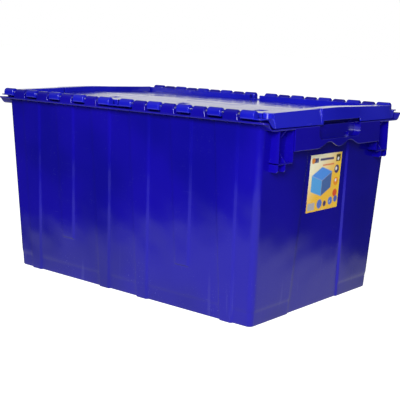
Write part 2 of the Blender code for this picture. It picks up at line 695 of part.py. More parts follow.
def lid_corner(home, side):
    """The skirt turns the corner and climbs to the hinge strip."""
    peak = (CURB_X, SKIRT_Y - GAP, CURB_Z)
    bend = (CURB_X, CURB_Y - GAP, CURB_Z)
    foot = (CURB_X, CURB_Y - GAP, STRIP_TOP)
    low = SKIRT_Z + LID_THICK
    edge = [(SKIRT_X, SKIRT_Y - GAP, low)]
    edge += [(SKIRT_X - x, SKIRT_Y + y, low + z) for x, y, z in SKIRT_CORNER]
    edge += [(CURB_X + STRIP_REACH - GAP, AXIS_Y + KNUCKLE_RADIUS - STRIP_INSET, STRIP_TOP)]
    fan = [(peak, edge[0], edge[1]), (peak, edge[1], bend), (bend, edge[1], edge[2])]
    fan += [(foot, edge[2], edge[3]), (bend, edge[2], foot)]
    for corners in fan:
        slab(home, [(side * x, y, z) for x, y, z in corners], LID_THICK, "lid_corner")


def lid_ribs(home):
    """Stiffening ribs below the panel."""
    far = CURB_Y - CURB_WIDTH - LID_THICK
    low = PANEL_EDGE_Z - LID_THICK - RIB_DEPTH
    high = PANEL_EDGE_Z - LID_THICK + GAP
    half = RIB_THICK / 2
    count = int((CURB_X - CURB_WIDTH) / LID_RIB_PITCH)
    for index in range(-count, count + 1):
        x = index * LID_RIB_PITCH
        block(home, (x - half, x + half), (-SEAM_STEP, far), (low, high), "rib")
    reach = CURB_X - CURB_WIDTH - LID_THICK
    for y in ((SEAM_STEP + far) / 2, far):
        block(home, (-reach, reach), (y - half, y + half), (low, high), "rib")


def seam_levels():
    """How far the seam lies from the middle, between its steps at seam_steps(), from end to end."""
    right = [-SEAM_STEP, SEAM_STEP, HIGH_SKIRT_WIDTH[1]]
    return [-y for y in reversed(right)] + right


def seam_steps():
    return [-SEAM_END, -SEAM_FINGER, 0.0, SEAM_FINGER, SEAM_END]


def seam_cut(cuts):
    """Everything on the front lid's side of the seam. Half a turn about +Z maps the seam onto itself."""
    levels = seam_levels()
    outline = [(-LENGTH, levels[0] + END_SEAM_GAP / 2)]
    for step, before, after in zip(seam_steps(), levels, levels[1:]):
        x = step - math.copysign(SEAM_GAP / 2, after - before)
        for y in (before, after):
            gap = END_SEAM_GAP if abs(y) > SEAM_STEP else SEAM_GAP
            outline.append((x, y + gap / 2))
    outline += [(LENGTH, levels[-1] + END_SEAM_GAP / 2), (LENGTH, -WIDTH), (-LENGTH, -WIDTH)]
    prism(cuts, outline, (AXIS_Z - 2 * SKIRT_DROP, AXIS_Z + 2 * SKIRT_DROP), along_z, "seam_cut")


def gates(cuts):
    """Three shallow square wells in the panel."""
    half = GATE_SIZE / 2
    for index in (-1, 0, 1):
        x = GATE_OFFSET + index * GATE_PITCH
        floor = panel_height(GATE_INSET) - GATE_DEPTH
        span = (GATE_INSET - half, GATE_INSET + half)
        block(cuts, (x - half, x + half), span, (floor, floor + OVER), "gate")


def lid_mesh(helpers):
    """The finished lid moulding, with its origin on the hinge axis."""
    solids = collection("lid_solids", helpers)
    cuts = collection("lid_cuts", helpers)
    lid_panel(solids)
    lid_curb(solids, cuts)
    lid_strip(solids, cuts)
    knuckles(solids)
    lid_ends(solids)
    for side in (-1, 1):
        lid_corner(solids, side)
    lid_ribs(solids)
    seam_cut(cuts)
    gates(cuts)
    for span in rod_spans():
        longer = (span[0] - ROD_INSET / 2, span[1] + ROD_INSET / 2)
        cylinder_x(cuts, ROD_RADIUS + ROD_PLAY, longer, AXIS_Y, AXIS_Z)
    base = solids.objects[0]
    solids.objects.unlink(base)
    helpers.objects.link(base)
    boolean(base, "UNION", solids)
    boolean(base, "DIFFERENCE", cuts)
    bpy.context.view_layer.update()
    evaluated = base.evaluated_get(bpy.context.evaluated_depsgraph_get())
    mesh = bpy.data.meshes.new_from_object(evaluated)
    mesh.transform(Matrix.Translation((0, -AXIS_Y, -AXIS_Z)))
    mesh.name = "lid"
    return mesh


def lids(home, helpers, plastic):
    mesh = lid_mesh(helpers)
    mesh.materials.clear()
    mesh.materials.append(plastic)
    for name, side, turn in (("lid_rear", 1, 0.0), ("lid_front", -1, math.pi)):
        lid = bpy.data.objects.new(name, mesh)
        lid.location = (0, side * AXIS_Y, AXIS_Z)
        lid.rotation_euler = (0, 0, turn)
        home.objects.link(lid)


# ---- Rods and label -----------------------------------------------------------------------------------


def rods(home, steel):
    for row, side in (("front", -1), ("rear", 1)):
        for hand, span in zip(("left", "right"), rod_spans()):
            rod = cylinder_x(home, ROD_RADIUS, span, side * AXIS_Y, AXIS_Z, name=f"hinge_rod_{row}_{hand}")
            rod.data.materials.append(steel)


def label(home, paper):
    """A square label on the sunk panel of the +X side, leaning with the wall."""
    half = LABEL_SIDE / 2
    middle = HANDLE_Z - LABEL_DROP - half
    sheet = block(home, (-LABEL_THICK / 2, LABEL_THICK / 2), (-half, half), (-half, half), "label")
    stand_off = (GAP + LABEL_THICK / 2) / math.cos(math.radians(DRAFT))
    sheet.location = (wall_x(middle) - PANEL_SINK + stand_off, 0, middle)
    sheet.rotation_euler = (0, math.radians(DRAFT), 0)
    sheet.data.materials.append(paper)


def main():
    clear_scene()
    home = collection("stacking_crate")
    helpers = collection("helpers")
    blue = material("crate_plastic", (0.012, 0.006, 0.30), 0.25)
    lid_blue = material("lid_plastic", (0.016, 0.012, 0.36), 0.22)
    steel = material("rod_steel", (0.55, 0.55, 0.56), 0.35, 1.0)
    paper = material("label_paper", (0.75, 0.66, 0.25), 0.5)
    crate_body(home, helpers, blue)
    lids(home, helpers, lid_blue)
    rods(home, steel)
    label(home, paper)
    hide_helpers(helpers)


main()
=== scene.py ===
# %% [markdown]
# # A stacking crate with two attached lids
#
# The crate is one blue moulding. Two identical lid halves turn on steel rods that run through their
# knuckles and through the tabs on the crate's long rims. The frame gives every size that the moving
# pieces share, and each visible piece is made again here with rounded edges, because a moulded edge is
# never sharp: the thin bright lines on a glossy crate are light caught by those small roundings.

import json
import math

import bmesh
import bpy
import numpy as np
from mathutils import Matrix, Vector


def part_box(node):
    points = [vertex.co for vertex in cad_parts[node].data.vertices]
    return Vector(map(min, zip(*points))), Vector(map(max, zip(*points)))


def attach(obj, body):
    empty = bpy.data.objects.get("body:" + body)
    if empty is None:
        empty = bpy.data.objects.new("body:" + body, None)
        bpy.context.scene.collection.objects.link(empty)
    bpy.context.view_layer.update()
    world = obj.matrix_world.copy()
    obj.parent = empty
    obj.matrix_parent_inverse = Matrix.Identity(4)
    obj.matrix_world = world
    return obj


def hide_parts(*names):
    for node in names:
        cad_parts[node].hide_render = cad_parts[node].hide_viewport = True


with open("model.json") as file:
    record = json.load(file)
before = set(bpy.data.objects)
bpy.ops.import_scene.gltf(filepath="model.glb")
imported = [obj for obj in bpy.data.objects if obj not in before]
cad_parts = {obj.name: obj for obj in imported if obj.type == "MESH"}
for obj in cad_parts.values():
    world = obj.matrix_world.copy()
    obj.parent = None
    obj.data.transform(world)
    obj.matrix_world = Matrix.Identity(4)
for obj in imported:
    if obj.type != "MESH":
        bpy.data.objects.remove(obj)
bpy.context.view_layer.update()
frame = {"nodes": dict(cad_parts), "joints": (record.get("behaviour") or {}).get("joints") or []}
MM = 0.001

# %% [markdown]
# ## Places that everything shares
#
# Lengths come from the frame's own boxes and joints, so that each new piece lands where the solid that it
# stands for is. The few sizes that no box gives, such as the lean of the walls, are named once here, in
# metres.

# %% Places from the frame
body_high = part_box("crate_body")[1]
lid_low, lid_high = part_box("lid_rear")
joints = {joint["name"]: joint for joint in frame["joints"]}
HANDLE_X = body_high.x
RIM_Y = body_high.y
AXIS_Y = joints["lid_rear_hinge"]["pos_m"][1]
AXIS_Z = joints["lid_rear_hinge"]["pos_m"][2]
SKIRT_X = lid_high.x
SKIRT_Z = lid_low.z
KNUCKLE_RADIUS = lid_high.z - AXIS_Z
PANEL_Z = AXIS_Z - KNUCKLE_RADIUS  # top of a lid's panel at its edges
RIM_TOP = AXIS_Z - 11.0 * MM
SHELF_TOP = AXIS_Z - 23.9 * MM
LEAN = math.tan(math.radians(2.9))  # of every wall of the body
HALF_X = HANDLE_X - 20.0 * MM - LEAN * SHELF_TOP  # half sizes of the body at the floor
HALF_Y = RIM_Y - 19.3 * MM - LEAN * (RIM_TOP - 3.3 * MM)
CURB_X = SKIRT_X - 21.3 * MM  # outer faces of the lids' raised curbs
CURB_Y = AXIS_Y - 17.5 * MM
CURB_Z = AXIS_Z + 2.7 * MM
CURB_WIDTH = 8.0 * MM
SKIRT_Y = RIM_Y - 35.0 * MM  # where the straight part of a short side ends
WALL = 2.8 * MM
LID_WALL = 2.5 * MM
print(f"axis at y {AXIS_Y:.4f}, z {AXIS_Z:.4f}; half sizes at the floor {HALF_X:.4f} x {HALF_Y:.4f}")

# %% [markdown]
# ## Meshes from arrays
#
# A surface is a grid of points worked out as whole arrays, and its faces join each point to its
# neighbours. A plate is an outline pushed along one direction. Both end as closed meshes, whose faces are
# turned outwards once.

# %% Mesh helpers


def grid_faces(rows, columns, wrap_rows=False, wrap_columns=False):
    """Quads between neighbours in a rows by columns grid; a wrapped direction joins its end to its start."""
    row = np.arange(rows if wrap_rows else rows - 1)
    column = np.arange(columns if wrap_columns else columns - 1)
    i, j = np.meshgrid(row, column, indexing="ij")
    below, beside = (i + 1) % rows, (j + 1) % columns
    corners = [i * columns + j, i * columns + beside, below * columns + beside, below * columns + j]
    return np.stack([corner.ravel() for corner in corners], axis=1)


def tube(sections):
    """A closed loft: sections is (steps, points, 3), each section a closed ring, and both ends are capped."""
    steps, points, _ = sections.shape
    faces = grid_faces(steps, points, wrap_columns=True).tolist()
    faces += [list(range(points)), list(range((steps - 1) * points, steps * points))]
    return sections.reshape(-1, 3), faces


def prism(outline, start, end, place):
    """An outline of (u, v) points pushed from start to end; place puts u, v and w on the three axes."""
    outline = np.asarray(outline, float)
    ends = [np.column_stack([outline, np.full(len(outline), w)]) for w in (start, end)]
    return tube(np.stack(ends)[:, :, place])


ALONG_X = [2, 0, 1]  # an outline of (y, z) pushed along x
ALONG_Y = [0, 2, 1]  # an outline of (x, z) pushed along y
ALONG_Z = [0, 1, 2]


def box(x, y, z):
    """A block between two values along each axis."""
    return prism([(x[0], y[0]), (x[1], y[0]), (x[1], y[1]), (x[0], y[1])], z[0], z[1], ALONG_Z)


def mirror(shape, x=1, y=1):
    """The same shape with x, y or both turned to the other side."""
    points, faces = shape
    return points * (x, y, 1), faces


def four_corners(shapes):
    """The shapes of one corner at all four."""
    return [mirror(shape, x, y) for shape in shapes for x in (1, -1) for y in (1, -1)]


def arc(centre, radius, start, end, steps=6):
    """Points of a circular arc between two angles in degrees."""
    turn = np.radians(np.linspace(start, end, steps + 1))
    return np.column_stack([centre[0] + radius * np.cos(turn), centre[1] + radius * np.sin(turn)])


def outwards(mesh):
    """Turns every closed shell of the mesh so that its faces point out."""
    work = bmesh.new()
    work.from_mesh(mesh)
    bmesh.ops.recalc_face_normals(work, faces=work.faces)
    work.to_mesh(mesh)
    work.free()


def piece(name, shapes, body, finish, replaced=(), edge=0.6 * MM, crease=35.0):
    """One object from several closed shapes, with its sharp edges rounded by edge, riding on a body."""
    points, faces, first = [], [], 0
    for shape_points, shape_faces in shapes:
        points.append(shape_points)
        faces += [[first + index for index in face] for face in shape_faces]
        first += len(shape_points)
    mesh = bpy.data.meshes.new(name)
    mesh.from_pydata(np.concatenate(points).tolist(), [], faces)
    outwards(mesh)
    mesh.shade_smooth()
    made = bpy.data.objects.new(name, mesh)
    bpy.context.scene.collection.objects.link(made)
    made.data.materials.append(finish)
    if edge:
        rounding = made.modifiers.new("Rounded edges", "BEVEL")
        rounding.width = edge
        rounding.segments = 3
        rounding.limit_method = "ANGLE"
        rounding.angle_limit = math.radians(crease)
        rounding.use_clamp_overlap = False
        rounding.harden_normals = True
    else:
        mesh.set_sharp_from_angle(angle=math.radians(crease))
    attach(made, body)
    for node in replaced:
        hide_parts(node)
    print(f"{name}: {len(mesh.vertices)} points, {len(mesh.polygons)} faces")
    return made


# %% [markdown]
# ## Shader maths
#
# A material is easier to read as arithmetic than as a web of nodes. One small class wraps a socket, so
# that an expression such as `1 - mask * 0.5` adds its Math nodes by itself. Colours and vectors never go
# through Math, which would turn them grey: they have Mix and Vector Math.

# %% Sockets as values


class Value:
    """One output socket of a material in the making."""

    def __init__(self, finish, socket):
        self.finish, self.socket = finish, socket

    def math(self, operation, *values):
        """A Math node working on the values, in the order of its inputs."""
        return self.finish.node("ShaderNodeMath", {"operation": operation}, dict(enumerate(values)))

    def __add__(self, other):
        return self.math("ADD", self, other)

    def __sub__(self, other):
        return self.math("SUBTRACT", self, other)

    def __rsub__(self, other):
        return self.math("SUBTRACT", other, self)

    def __mul__(self, other):
        return self.math("MULTIPLY", self, other)

    __radd__, __rmul__ = __add__, __mul__


class Finish:
    """A material and its main shader: node() adds any node, set() gives the shader a number or a value."""

    def __init__(self, name):
        self.material = bpy.data.materials.new(name)
        self.material.use_nodes = True
        self.tree = self.material.node_tree
        self.shader = self.tree.nodes["Principled BSDF"]
        self.place = self.node("ShaderNodeTexCoord", output="Object")

    def put(self, socket, value):
        """Links a value to the socket, or sets the socket to a plain number or colour."""
        if isinstance(value, Value):
            self.tree.links.new(value.socket, socket)
        else:
            socket.default_value = value

    def node(self, kind, settings=None, inputs=None, output=0):
        """Any node with its settings and inputs; the value of one of its outputs comes back."""
        made = self.tree.nodes.new(kind)
        for name, value in (settings or {}).items():
            setattr(made, name, value)
        for name, value in (inputs or {}).items():
            self.put(made.inputs[name], value)
        return Value(self, made.outputs[output])

    def set(self, **values):
        """Gives the main shader's inputs, named in lower case, their values."""
        for name, value in values.items():
            self.put(self.shader.inputs[name.replace("_", " ").title().replace("Ior", "IOR")], value)

    def noise(self, scale, detail=3.0, stretch=(1, 1, 1)):
        """Soft noise from 0 to 1, scale times per metre, drawn out along an axis where stretch is small."""
        place = self.node("ShaderNodeMapping", {}, {"Vector": self.place, "Scale": stretch})
        return self.node("ShaderNodeTexNoise", {}, {"Vector": place, "Scale": scale, "Detail": detail})

    def between(self, value, low, high):
        """0 where value is below low and 1 where it is above high, smooth between; high may be below low."""
        limits = {0: value, 1: low, 2: high, 3: 0.0, 4: 1.0}
        return self.node("ShaderNodeMapRange", {"interpolation_type": "SMOOTHSTEP"}, limits)

    def mix(self, share, first, second):
        """From the first colour to the second as share goes from 0 to 1."""
        first, second = ((*c, 1) if isinstance(c, tuple) else c for c in (first, second))
        return self.node("ShaderNodeMix", {"data_type": "RGBA"}, {0: share, 6: first, 7: second}, 2)

    def bump(self, height, distance, strength=1.0, under=None):
        """A normal from a height field, laid over the normal under it."""
        inputs = {"Height": height, "Distance": distance, "Strength": strength}
        if under is not None:
            inputs["Normal"] = under
        return self.node("ShaderNodeBump", {}, inputs)

    def axes(self):
        """The place on the piece along x, y and z, in metres."""
        return [self.node("ShaderNodeSeparateXYZ", {}, {0: self.place}, i) for i in range(3)]


# %% [markdown]
# ## Moulded polypropylene
#
# Crate and lids are one plastic, in two shades. Fresh from the mould it is glossy, with a faint skin like
# orange peel and slow waves where the wall cooled unevenly. Use leaves scuffs: short pale lines that run
# along the walls, duller than the rest. Dust gathers low down, and a few dried drips run from it. These
# are made from noise in the piece's own space, so that the pattern stays put when a lid swings. On the
# lids, the sunk squares are painted a darker blue as painted shade, in the same space.

# %% Plastic


GATE_X = -39.0 * MM + 193.0 * MM * np.array([-1, 0, 1])  # three sunk squares on each lid
GATE_Y = 84.0 * MM
GATE_HALF = 11.0 * MM


def sunk_square_shading(made, x, y):
    """1 inside the sunk squares of either lid, where painted shade goes; the front lid's are the rear lid's
    turned half round.
    """
    along = x * y.math("SIGN", y)
    near = made.node("ShaderNodeMath", {"operation": "ABSOLUTE"}, {0: y}) - GATE_Y
    outer, inner = GATE_HALF + 0.5 * MM, GATE_HALF - 0.5 * MM
    rows = made.between(near.math("ABSOLUTE", near), outer, inner)
    columns = 0.0
    for centre in GATE_X:
        away = along - float(centre)
        columns = made.between(away.math("ABSOLUTE", away), outer, inner) + columns
    return rows * columns


def plastic(name, deep, bright, scuffed, gloss, low_dust, shade_sunk_squares=False):
    """Deep and bright shades mixed by slow noise, then scuffs, dust and drips, and if asked painted shade in
    the sunk squares.
    """
    made = Finish(name)
    x, y, z = made.axes()
    clouds = made.between(made.noise(5.0, 2.0), 0.35, 0.65)
    shade = made.mix(clouds, deep, bright)
    long_lines = made.noise(60.0, 6.0, (0.25, 0.25, 6.0))
    patches = made.between(made.noise(9.0, 2.0), 0.52, 0.68)
    scuffs = made.between(long_lines, 0.64, 0.74) * patches
    shade = made.mix(scuffs * 0.14, shade, scuffed)
    dots = made.between(made.noise(420.0, 1.0), 0.70, 0.76)
    specks = dots * made.between(made.noise(14.0, 2.0), 0.45, 0.62)
    drips = made.between(made.noise(55.0, 2.0, (1, 1, 0.06)), 0.66, 0.72)
    lowness = made.between(z, low_dust, 0.0)
    dirt = specks * (0.25 + lowness * 0.5) + drips * lowness * 0.15
    shade = made.mix(dirt, shade, (0.10, 0.10, 0.42))
    rough = made.noise(24.0, 4.0) * 0.06 + gloss + scuffs * 0.22 + dirt * 0.3
    # Painted shade: the lid's sunk squares get a darker blue that stands in for the shade inside them, and a
    # duller surface.
    if shade_sunk_squares:
        painted_shade = sunk_square_shading(made, x, y)
        shade = made.mix(painted_shade * 0.6, shade, (0.002, 0.004, 0.20))
        rough = rough + painted_shade * 0.75
    peel = made.bump(made.noise(900.0, 2.0), 0.00006, 0.5)
    waves = made.bump(made.noise(11.0, 1.0), 0.0016, 0.6, peel)
    grain = made.bump(long_lines * patches, 0.00008, 0.6, waves)
    made.set(base_color=shade, roughness=rough, normal=grain, specular_ior_level=0.5)
    return made.material


crate_shades = ((0.003, 0.0015, 0.25), (0.006, 0.002, 0.33), (0.05, 0.05, 0.55))
lid_shades = ((0.005, 0.006, 0.40), (0.010, 0.012, 0.50), (0.06, 0.07, 0.65))
crate_plastic = plastic("crate_plastic", *crate_shades, gloss=0.05, low_dust=0.16)
lid_plastic = plastic("lid_plastic", *lid_shades, gloss=0.09, low_dust=0.05, shade_sunk_squares=True)


def moulded(name, shapes, edge, crease=35.0):
    """A piece of the crate's own moulding."""
    return piece(name, shapes, "crate", crate_plastic, ["crate_body"], edge, crease)


print("plastics:", crate_plastic.name, lid_plastic.name)

# %% [markdown]
# ## Steel rods and printed label
#
# The rods are drawn wire: fine rings round them, a little dull, with a few brown spots. The label is
# print on a smooth film, worked out as simple fields: each mark is a soft-edged box or disc in the
# label's own two directions, laid over the ground one after another.

# %% Rod steel


def drawn_steel():
    """Grey wire with rings of tone and gloss round it, and brown spots."""
    made = Finish("rod_steel")
    rings = made.noise(300.0, 2.0, (4.0, 0.3, 0.3))
    spots = made.between(made.noise(130.0, 4.0), 0.60, 0.72)
    shade = made.mix(rings, (0.42, 0.42, 0.43), (0.60, 0.60, 0.61))
    made.set(base_color=made.mix(spots * 0.7, shade, (0.20, 0.11, 0.06)), metallic=1 - spots * 0.6)
    made.set(roughness=rings * 0.15 + 0.28 + spots * 0.3, normal=made.bump(rings, 0.00004, 0.5))
    return made.material


rod_steel = drawn_steel()
print("rods:", rod_steel.name)

# %% Label print
label_low, label_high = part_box("label")


def printed_label():
    """A warm ground with its marks laid on in order; across and up go from 0 to 1 over the label."""
    made = Finish("label_print")
    _, y, z = made.axes()
    across = (y - label_low.y) * (1 / (label_high.y - label_low.y))
    up = (z - label_low.z) * (1 / (label_high.z - label_low.z))
    aspect = (label_high.z - label_low.z) / (label_high.y - label_low.y)
    soft = 0.012

    def within(value, low, high):
        """1 where value lies between low and high, with soft edges."""
        return made.between(value, low - soft, low + soft) * made.between(value, high + soft, high - soft)

    def block(u, v, slope=0.0):
        """A box between two values across and two up; a slope shears it."""
        return within(across, *u) * within(up + across * slope, *v)

    def disc(u, v, radius):
        """A round mark: the squared distance from its centre against the squared radius."""
        beside, above = across - u, (up - v) * aspect
        away = beside.math("POWER", beside, 2.0) + above.math("POWER", above, 2.0)
        return made.between(away, (radius + soft) ** 2, (radius - soft) ** 2)

    slant = made.between(across * 0.6 + (1 - up) * 0.8, 0.15, 0.8)
    ground = made.mix(slant, (0.98, 0.95, 0.70), (0.95, 0.56, 0.05))
    ground = made.mix(made.between(across, 0.80, 1.0) * 0.6, ground, (0.95, 0.66, 0.02))
    navy, orange, pale, red = (0.012, 0.012, 0.16), (0.85, 0.28, 0.02), (0.93, 0.93, 0.90), (0.72, 0.06, 0.02)
    box_top = within(up + across * 0.32, 0.665, 0.90) * within(up - across * 0.43, 0.35, 0.607)
    marks = [
        (block((0.05, 0.25), (0.86, 0.94)), navy),
        (disc(0.09, 0.90, 0.05), orange),
        (block((0.30, 0.74), (0.885, 0.925)), navy),
        (block((0.40, 0.76), (0.792, 0.812)), red),
        (block((0.82, 0.96), (0.84, 0.965)), (0.01, 0.01, 0.012)),
        (disc(0.89, 0.885, 0.028), pale),
        (block((0.08, 0.42), (0.39, 0.665), 0.32), (0.04, 0.38, 0.86)),
        (block((0.42, 0.72), (0.075, 0.35), -0.43), (0.01, 0.12, 0.40)),
        (box_top, (0.03, 0.28, 0.88)),
        (disc(0.87, 0.70, 0.075), navy),
        (disc(0.85, 0.71, 0.03), pale),
        (disc(0.88, 0.48, 0.075), orange),
        (disc(0.87, 0.50, 0.025), pale),
        (disc(0.88, 0.27, 0.07), red),
        (block((0.03, 0.25), (0.03, 0.16)), (0.45, 0.46, 0.50)),
        (disc(0.40, 0.12, 0.08), (0.04, 0.16, 0.62)),
        (disc(0.57, 0.11, 0.05), navy),
        (disc(0.75, 0.14, 0.07), (0.04, 0.16, 0.62)),
        (disc(0.92, 0.16, 0.06), (0.03, 0.10, 0.50)),
    ]
    print_dots = made.noise(1500.0, 1.0) * 0.12 + 0.88
    for mark, colour in marks:
        ground = made.mix(mark * print_dots, ground, colour)
    worn = made.between(made.noise(90.0, 5.0), 0.66, 0.72) * 0.5
    ground = made.mix(worn, ground, (0.80, 0.78, 0.70))
    wrinkle = made.bump(made.noise(60.0, 2.0), 0.0003, 0.4)
    made.set(base_color=ground, roughness=made.noise(40.0) * 0.15 + 0.28 + worn * 0.3, normal=wrinkle)
    return made.material


label_print = printed_label()
rods = [node for node in frame["nodes"] if node.startswith("hinge_rod")]
for node, finish in [("label", label_print)] + [(rod, rod_steel) for rod in rods]:
    for slot in frame["nodes"][node].material_slots:
        slot.material = finish
print("label", [round(side / MM, 1) for side in label_high - label_low], "mm")

# %% [markdown]
# ## The tub
#
# The walls and the floor are one skin. It could be cut from blocks, but a moulded wall is easier as one
# grid: each row is a ring round the crate at some height, each column follows one feature from floor to
# rim, and a single function says how far the wall stands proud there. The bands get narrower towards the
# floor, so their columns lean together with them, and the inner wall is the same grid moved in by the
# wall's thickness.

# %% Features of the walls
BANDS = 6
BAND_TOP, BAND_FOOT = 51.0 * MM, 24.0 * MM
BAND_PROUD = 3.6 * MM
BAND_PITCH = 2 * (HALF_X + LEAN * RIM_TOP - 23.0 * MM) / BANDS
SHORT_BANDS = (1, BANDS - 2)
SHORT_BAND_END = 87.5 * MM
PANEL_TOP, PANEL_FOOT = 132.0 * MM, 172.0 * MM
PANEL_SINK = 4.0 * MM
FOOT_STEP = 29.0 * MM
FOOT_INSET = 1.0 * MM
CORNER_RADIUS = 12.0 * MM
BODY_TOP = PANEL_Z - LID_WALL - 0.3 * MM
FLOOR = 3.2 * MM
FLANK = np.array([3.4, 3.0, 2.7, 2.4, 0.4, 0.1, -0.2, -0.6]) * MM  # columns across a sloping flank
FLANK_RISE = np.array([0, 0.02, 0.08, 0.19, 0.81, 0.92, 0.98, 1.0])


def ramp(value, start, end):
    """0 before start and 1 after end, rising between them as half a cosine wave."""
    share = np.clip((value - start) / (end - start), 0, 1)
    return 0.5 - 0.5 * np.cos(np.pi * share)


def shares(marks, step):
    """For each column, the number of the mark before it and its share of the way on to the next."""
    counts = np.maximum(1, np.ceil(np.diff(marks) / step).astype(int))
    before = np.repeat(np.arange(len(counts)), counts)
    share = np.concatenate([np.arange(n) / n for n in counts])
    return before, share


def band_marks(level):
    """The x of every feature column of a long side at a height, and how proud the wall is at each, 0 to 1."""
    half = (BAND_FOOT + (BAND_TOP - BAND_FOOT) * level / RIM_TOP) / 2
    x, proud = [], []
    for index in range(BANDS):
        middle = (index - (BANDS - 1) / 2) * BAND_PITCH
        full = 1.0
        if index in SHORT_BANDS:
            full = ramp(level, SHORT_BAND_END - 2 * MM, SHORT_BAND_END + 2 * MM)
        x += [middle - half - FLANK, (middle + half + FLANK)[::-1]]
        proud += [full * FLANK_RISE, full * FLANK_RISE[::-1]]
    return np.concatenate(x), np.concatenate(proud)


def panel_marks(level):
    """The same for the sunk panel of a short side."""
    half = (PANEL_FOOT + (PANEL_TOP - PANEL_FOOT) * level / RIM_TOP) / 2
    y = np.concatenate([-half - FLANK, (half + FLANK)[::-1]])
    return y, np.concatenate([FLANK_RISE, FLANK_RISE[::-1]])


def side(marks, weights, reach, before, share):
    """Columns of one side from -reach to reach, with the weight of each, from its feature marks."""
    marks = np.concatenate([[-reach], marks, [reach]])
    weights = np.concatenate([[0], weights, [0]])
    along = marks[before] + share * (marks[before + 1] - marks[before])
    return along, weights[before] + share * (weights[before + 1] - weights[before])


LONG_SPLIT = shares(np.concatenate([[-HALF_X], band_marks(RIM_TOP)[0], [HALF_X]]), 8 * MM)
SHORT_SPLIT = shares(np.concatenate([[-HALF_Y], panel_marks(RIM_TOP)[0], [HALF_Y]]), 8 * MM)
CORNER_TURN = np.radians(np.linspace(0, 90, 11))[:-1]


def ring(level, inset):
    """One closed ring: a long side, a corner, a short side and a corner, then the same turned half round."""
    foot = -FOOT_INSET * (1 - ramp(level, FOOT_STEP - 4 * MM, FOOT_STEP + 4 * MM))
    reach_x = HALF_X + LEAN * level - CORNER_RADIUS
    reach_y = HALF_Y + LEAN * level - CORNER_RADIUS
    radius = CORNER_RADIUS + foot - inset
    x, proud = side(*band_marks(level), reach_x, *LONG_SPLIT)
    out = foot + proud * (BAND_PROUD - foot)
    out += 0.12 * MM * np.sin(x / (17 * MM) + level / (23 * MM)) * np.sin(level / (41 * MM))
    long_side = np.column_stack([x, -(reach_y + CORNER_RADIUS + out - inset)])
    turn = CORNER_TURN
    near = np.column_stack([reach_x + radius * np.sin(turn), -reach_y - radius * np.cos(turn)])
    y, sunk = side(*panel_marks(level), reach_y, *SHORT_SPLIT)
    depth = foot - sunk * (PANEL_SINK + foot)
    short_side = np.column_stack([reach_x + CORNER_RADIUS + depth - inset, y])
    far = np.column_stack([reach_x + radius * np.cos(turn), reach_y + radius * np.sin(turn)])
    half = np.concatenate([long_side, near, short_side, far])
    whole = np.concatenate([half, -half])
    return np.column_stack([whole, np.full(len(whole), level)])


def tub():
    """Rings up the outside, over the top edge and down the inside, closed by a flat floor at each end."""
    outside = [(0.0, 3.0), (0.3, 1.6), (0.9, 0.6), (2.0, 0.1), (3.2, 0.0)]
    heights = np.concatenate(
        [np.linspace(9, 23, 4), np.linspace(25, 33, 7), np.linspace(38, 82, 6), np.linspace(85, 90, 8)]
    )
    heights = np.concatenate([heights, np.linspace(100, 368, 27), [371.0]])
    outside += [(height, 0.0) for height in heights]
    top = BODY_TOP / MM
    lip = [(top - 0.5, 0.1), (top - 0.1, 0.5), (top, 1.0), (top, 1.8), (top - 0.1, 2.3), (top - 0.5, 2.7)]
    wall = WALL / MM
    inside = [(height, wall) for height in heights[::-1]]
    floor = FLOOR / MM
    inside += [(floor + 4, wall), (floor + 2, wall + 0.6), (floor + 0.7, wall + 2), (floor, wall + 4)]
    return tube(np.stack([ring(level * MM, inset * MM) for level, inset in outside + lip + inside]))


moulded("body_tub", [tub()], edge=0, crease=50)

# %% [markdown]
# ## The rims
#
# A rim runs all the way round: high along the long sides, down at the corners, and lower along the short
# sides, where it is the shelf above the handles. It is one section carried along a closed path, with a
# rounded nose.

# %% Rim path and section
SHELF_THICK = 2.8 * MM
RIM_THICK = 3.3 * MM
GRIP_SINK = 13.0 * MM
GRIP_HALF = 149.6 / 2 * MM
RECESS_HALF = GRIP_HALF - 2.0 * MM


def bezier(start, first, second, end, steps):
    """Points of a cubic curve that leaves start towards first and reaches end from second."""
    t = np.linspace(0, 1, steps + 1)[:, None]
    weights = [(1 - t) ** 3, 3 * t * (1 - t) ** 2, 3 * t**2 * (1 - t), t**3]
    return sum(weight * np.asarray(point) for weight, point in zip(weights, (start, first, second, end)))


def rim_half_path():
    """Outer edge and root of the rim, from one long side round the short side to the other long side."""
    straight, drop = HANDLE_X - 22 * MM, RIM_Y - 12.5 * MM
    over = bezier(
        (straight, -RIM_Y, RIM_TOP),
        (HANDLE_X - 5 * MM, -RIM_Y, RIM_TOP),
        (HANDLE_X, -RIM_Y + 2.5 * MM, RIM_TOP),
        (HANDLE_X, -drop, RIM_TOP - 1.5 * MM),
        6,
    )
    down = bezier(
        (HANDLE_X, -drop, RIM_TOP - 1.5 * MM),
        (HANDLE_X, -drop + 3 * MM, RIM_TOP - 6 * MM),
        (HANDLE_X, -drop + 6 * MM, SHELF_TOP),
        (HANDLE_X, -drop + 14 * MM, SHELF_TOP),
        8,
    )
    edge = np.concatenate([over, down[1:]])
    wall_x, wall_y = HALF_X + LEAN * SHELF_TOP, HALF_Y + LEAN * RIM_TOP
    turn = np.radians(np.linspace(0, 90, 15))
    inner = CORNER_RADIUS - 1 * MM
    root_x = wall_x - CORNER_RADIUS + inner * np.sin(turn)
    root_y = -wall_y + CORNER_RADIUS - inner * np.cos(turn)
    root = np.column_stack([root_x, root_y, edge[:, 2]])
    back = HANDLE_X - GRIP_SINK
    along = [(HANDLE_X, -RECESS_HALF), (back, -RECESS_HALF), (back, RECESS_HALF), (HANDLE_X, RECESS_HALF)]
    middle = np.array([(x, y, SHELF_TOP) for x, y in along])
    middle_root = middle.copy()
    middle_root[:, 0] = wall_x - 1 * MM
    flip = (1, -1, 1)
    edges = np.concatenate([edge, middle, edge[::-1] * flip])
    roots = np.concatenate([root, middle_root, root[::-1] * flip])
    return edges, roots


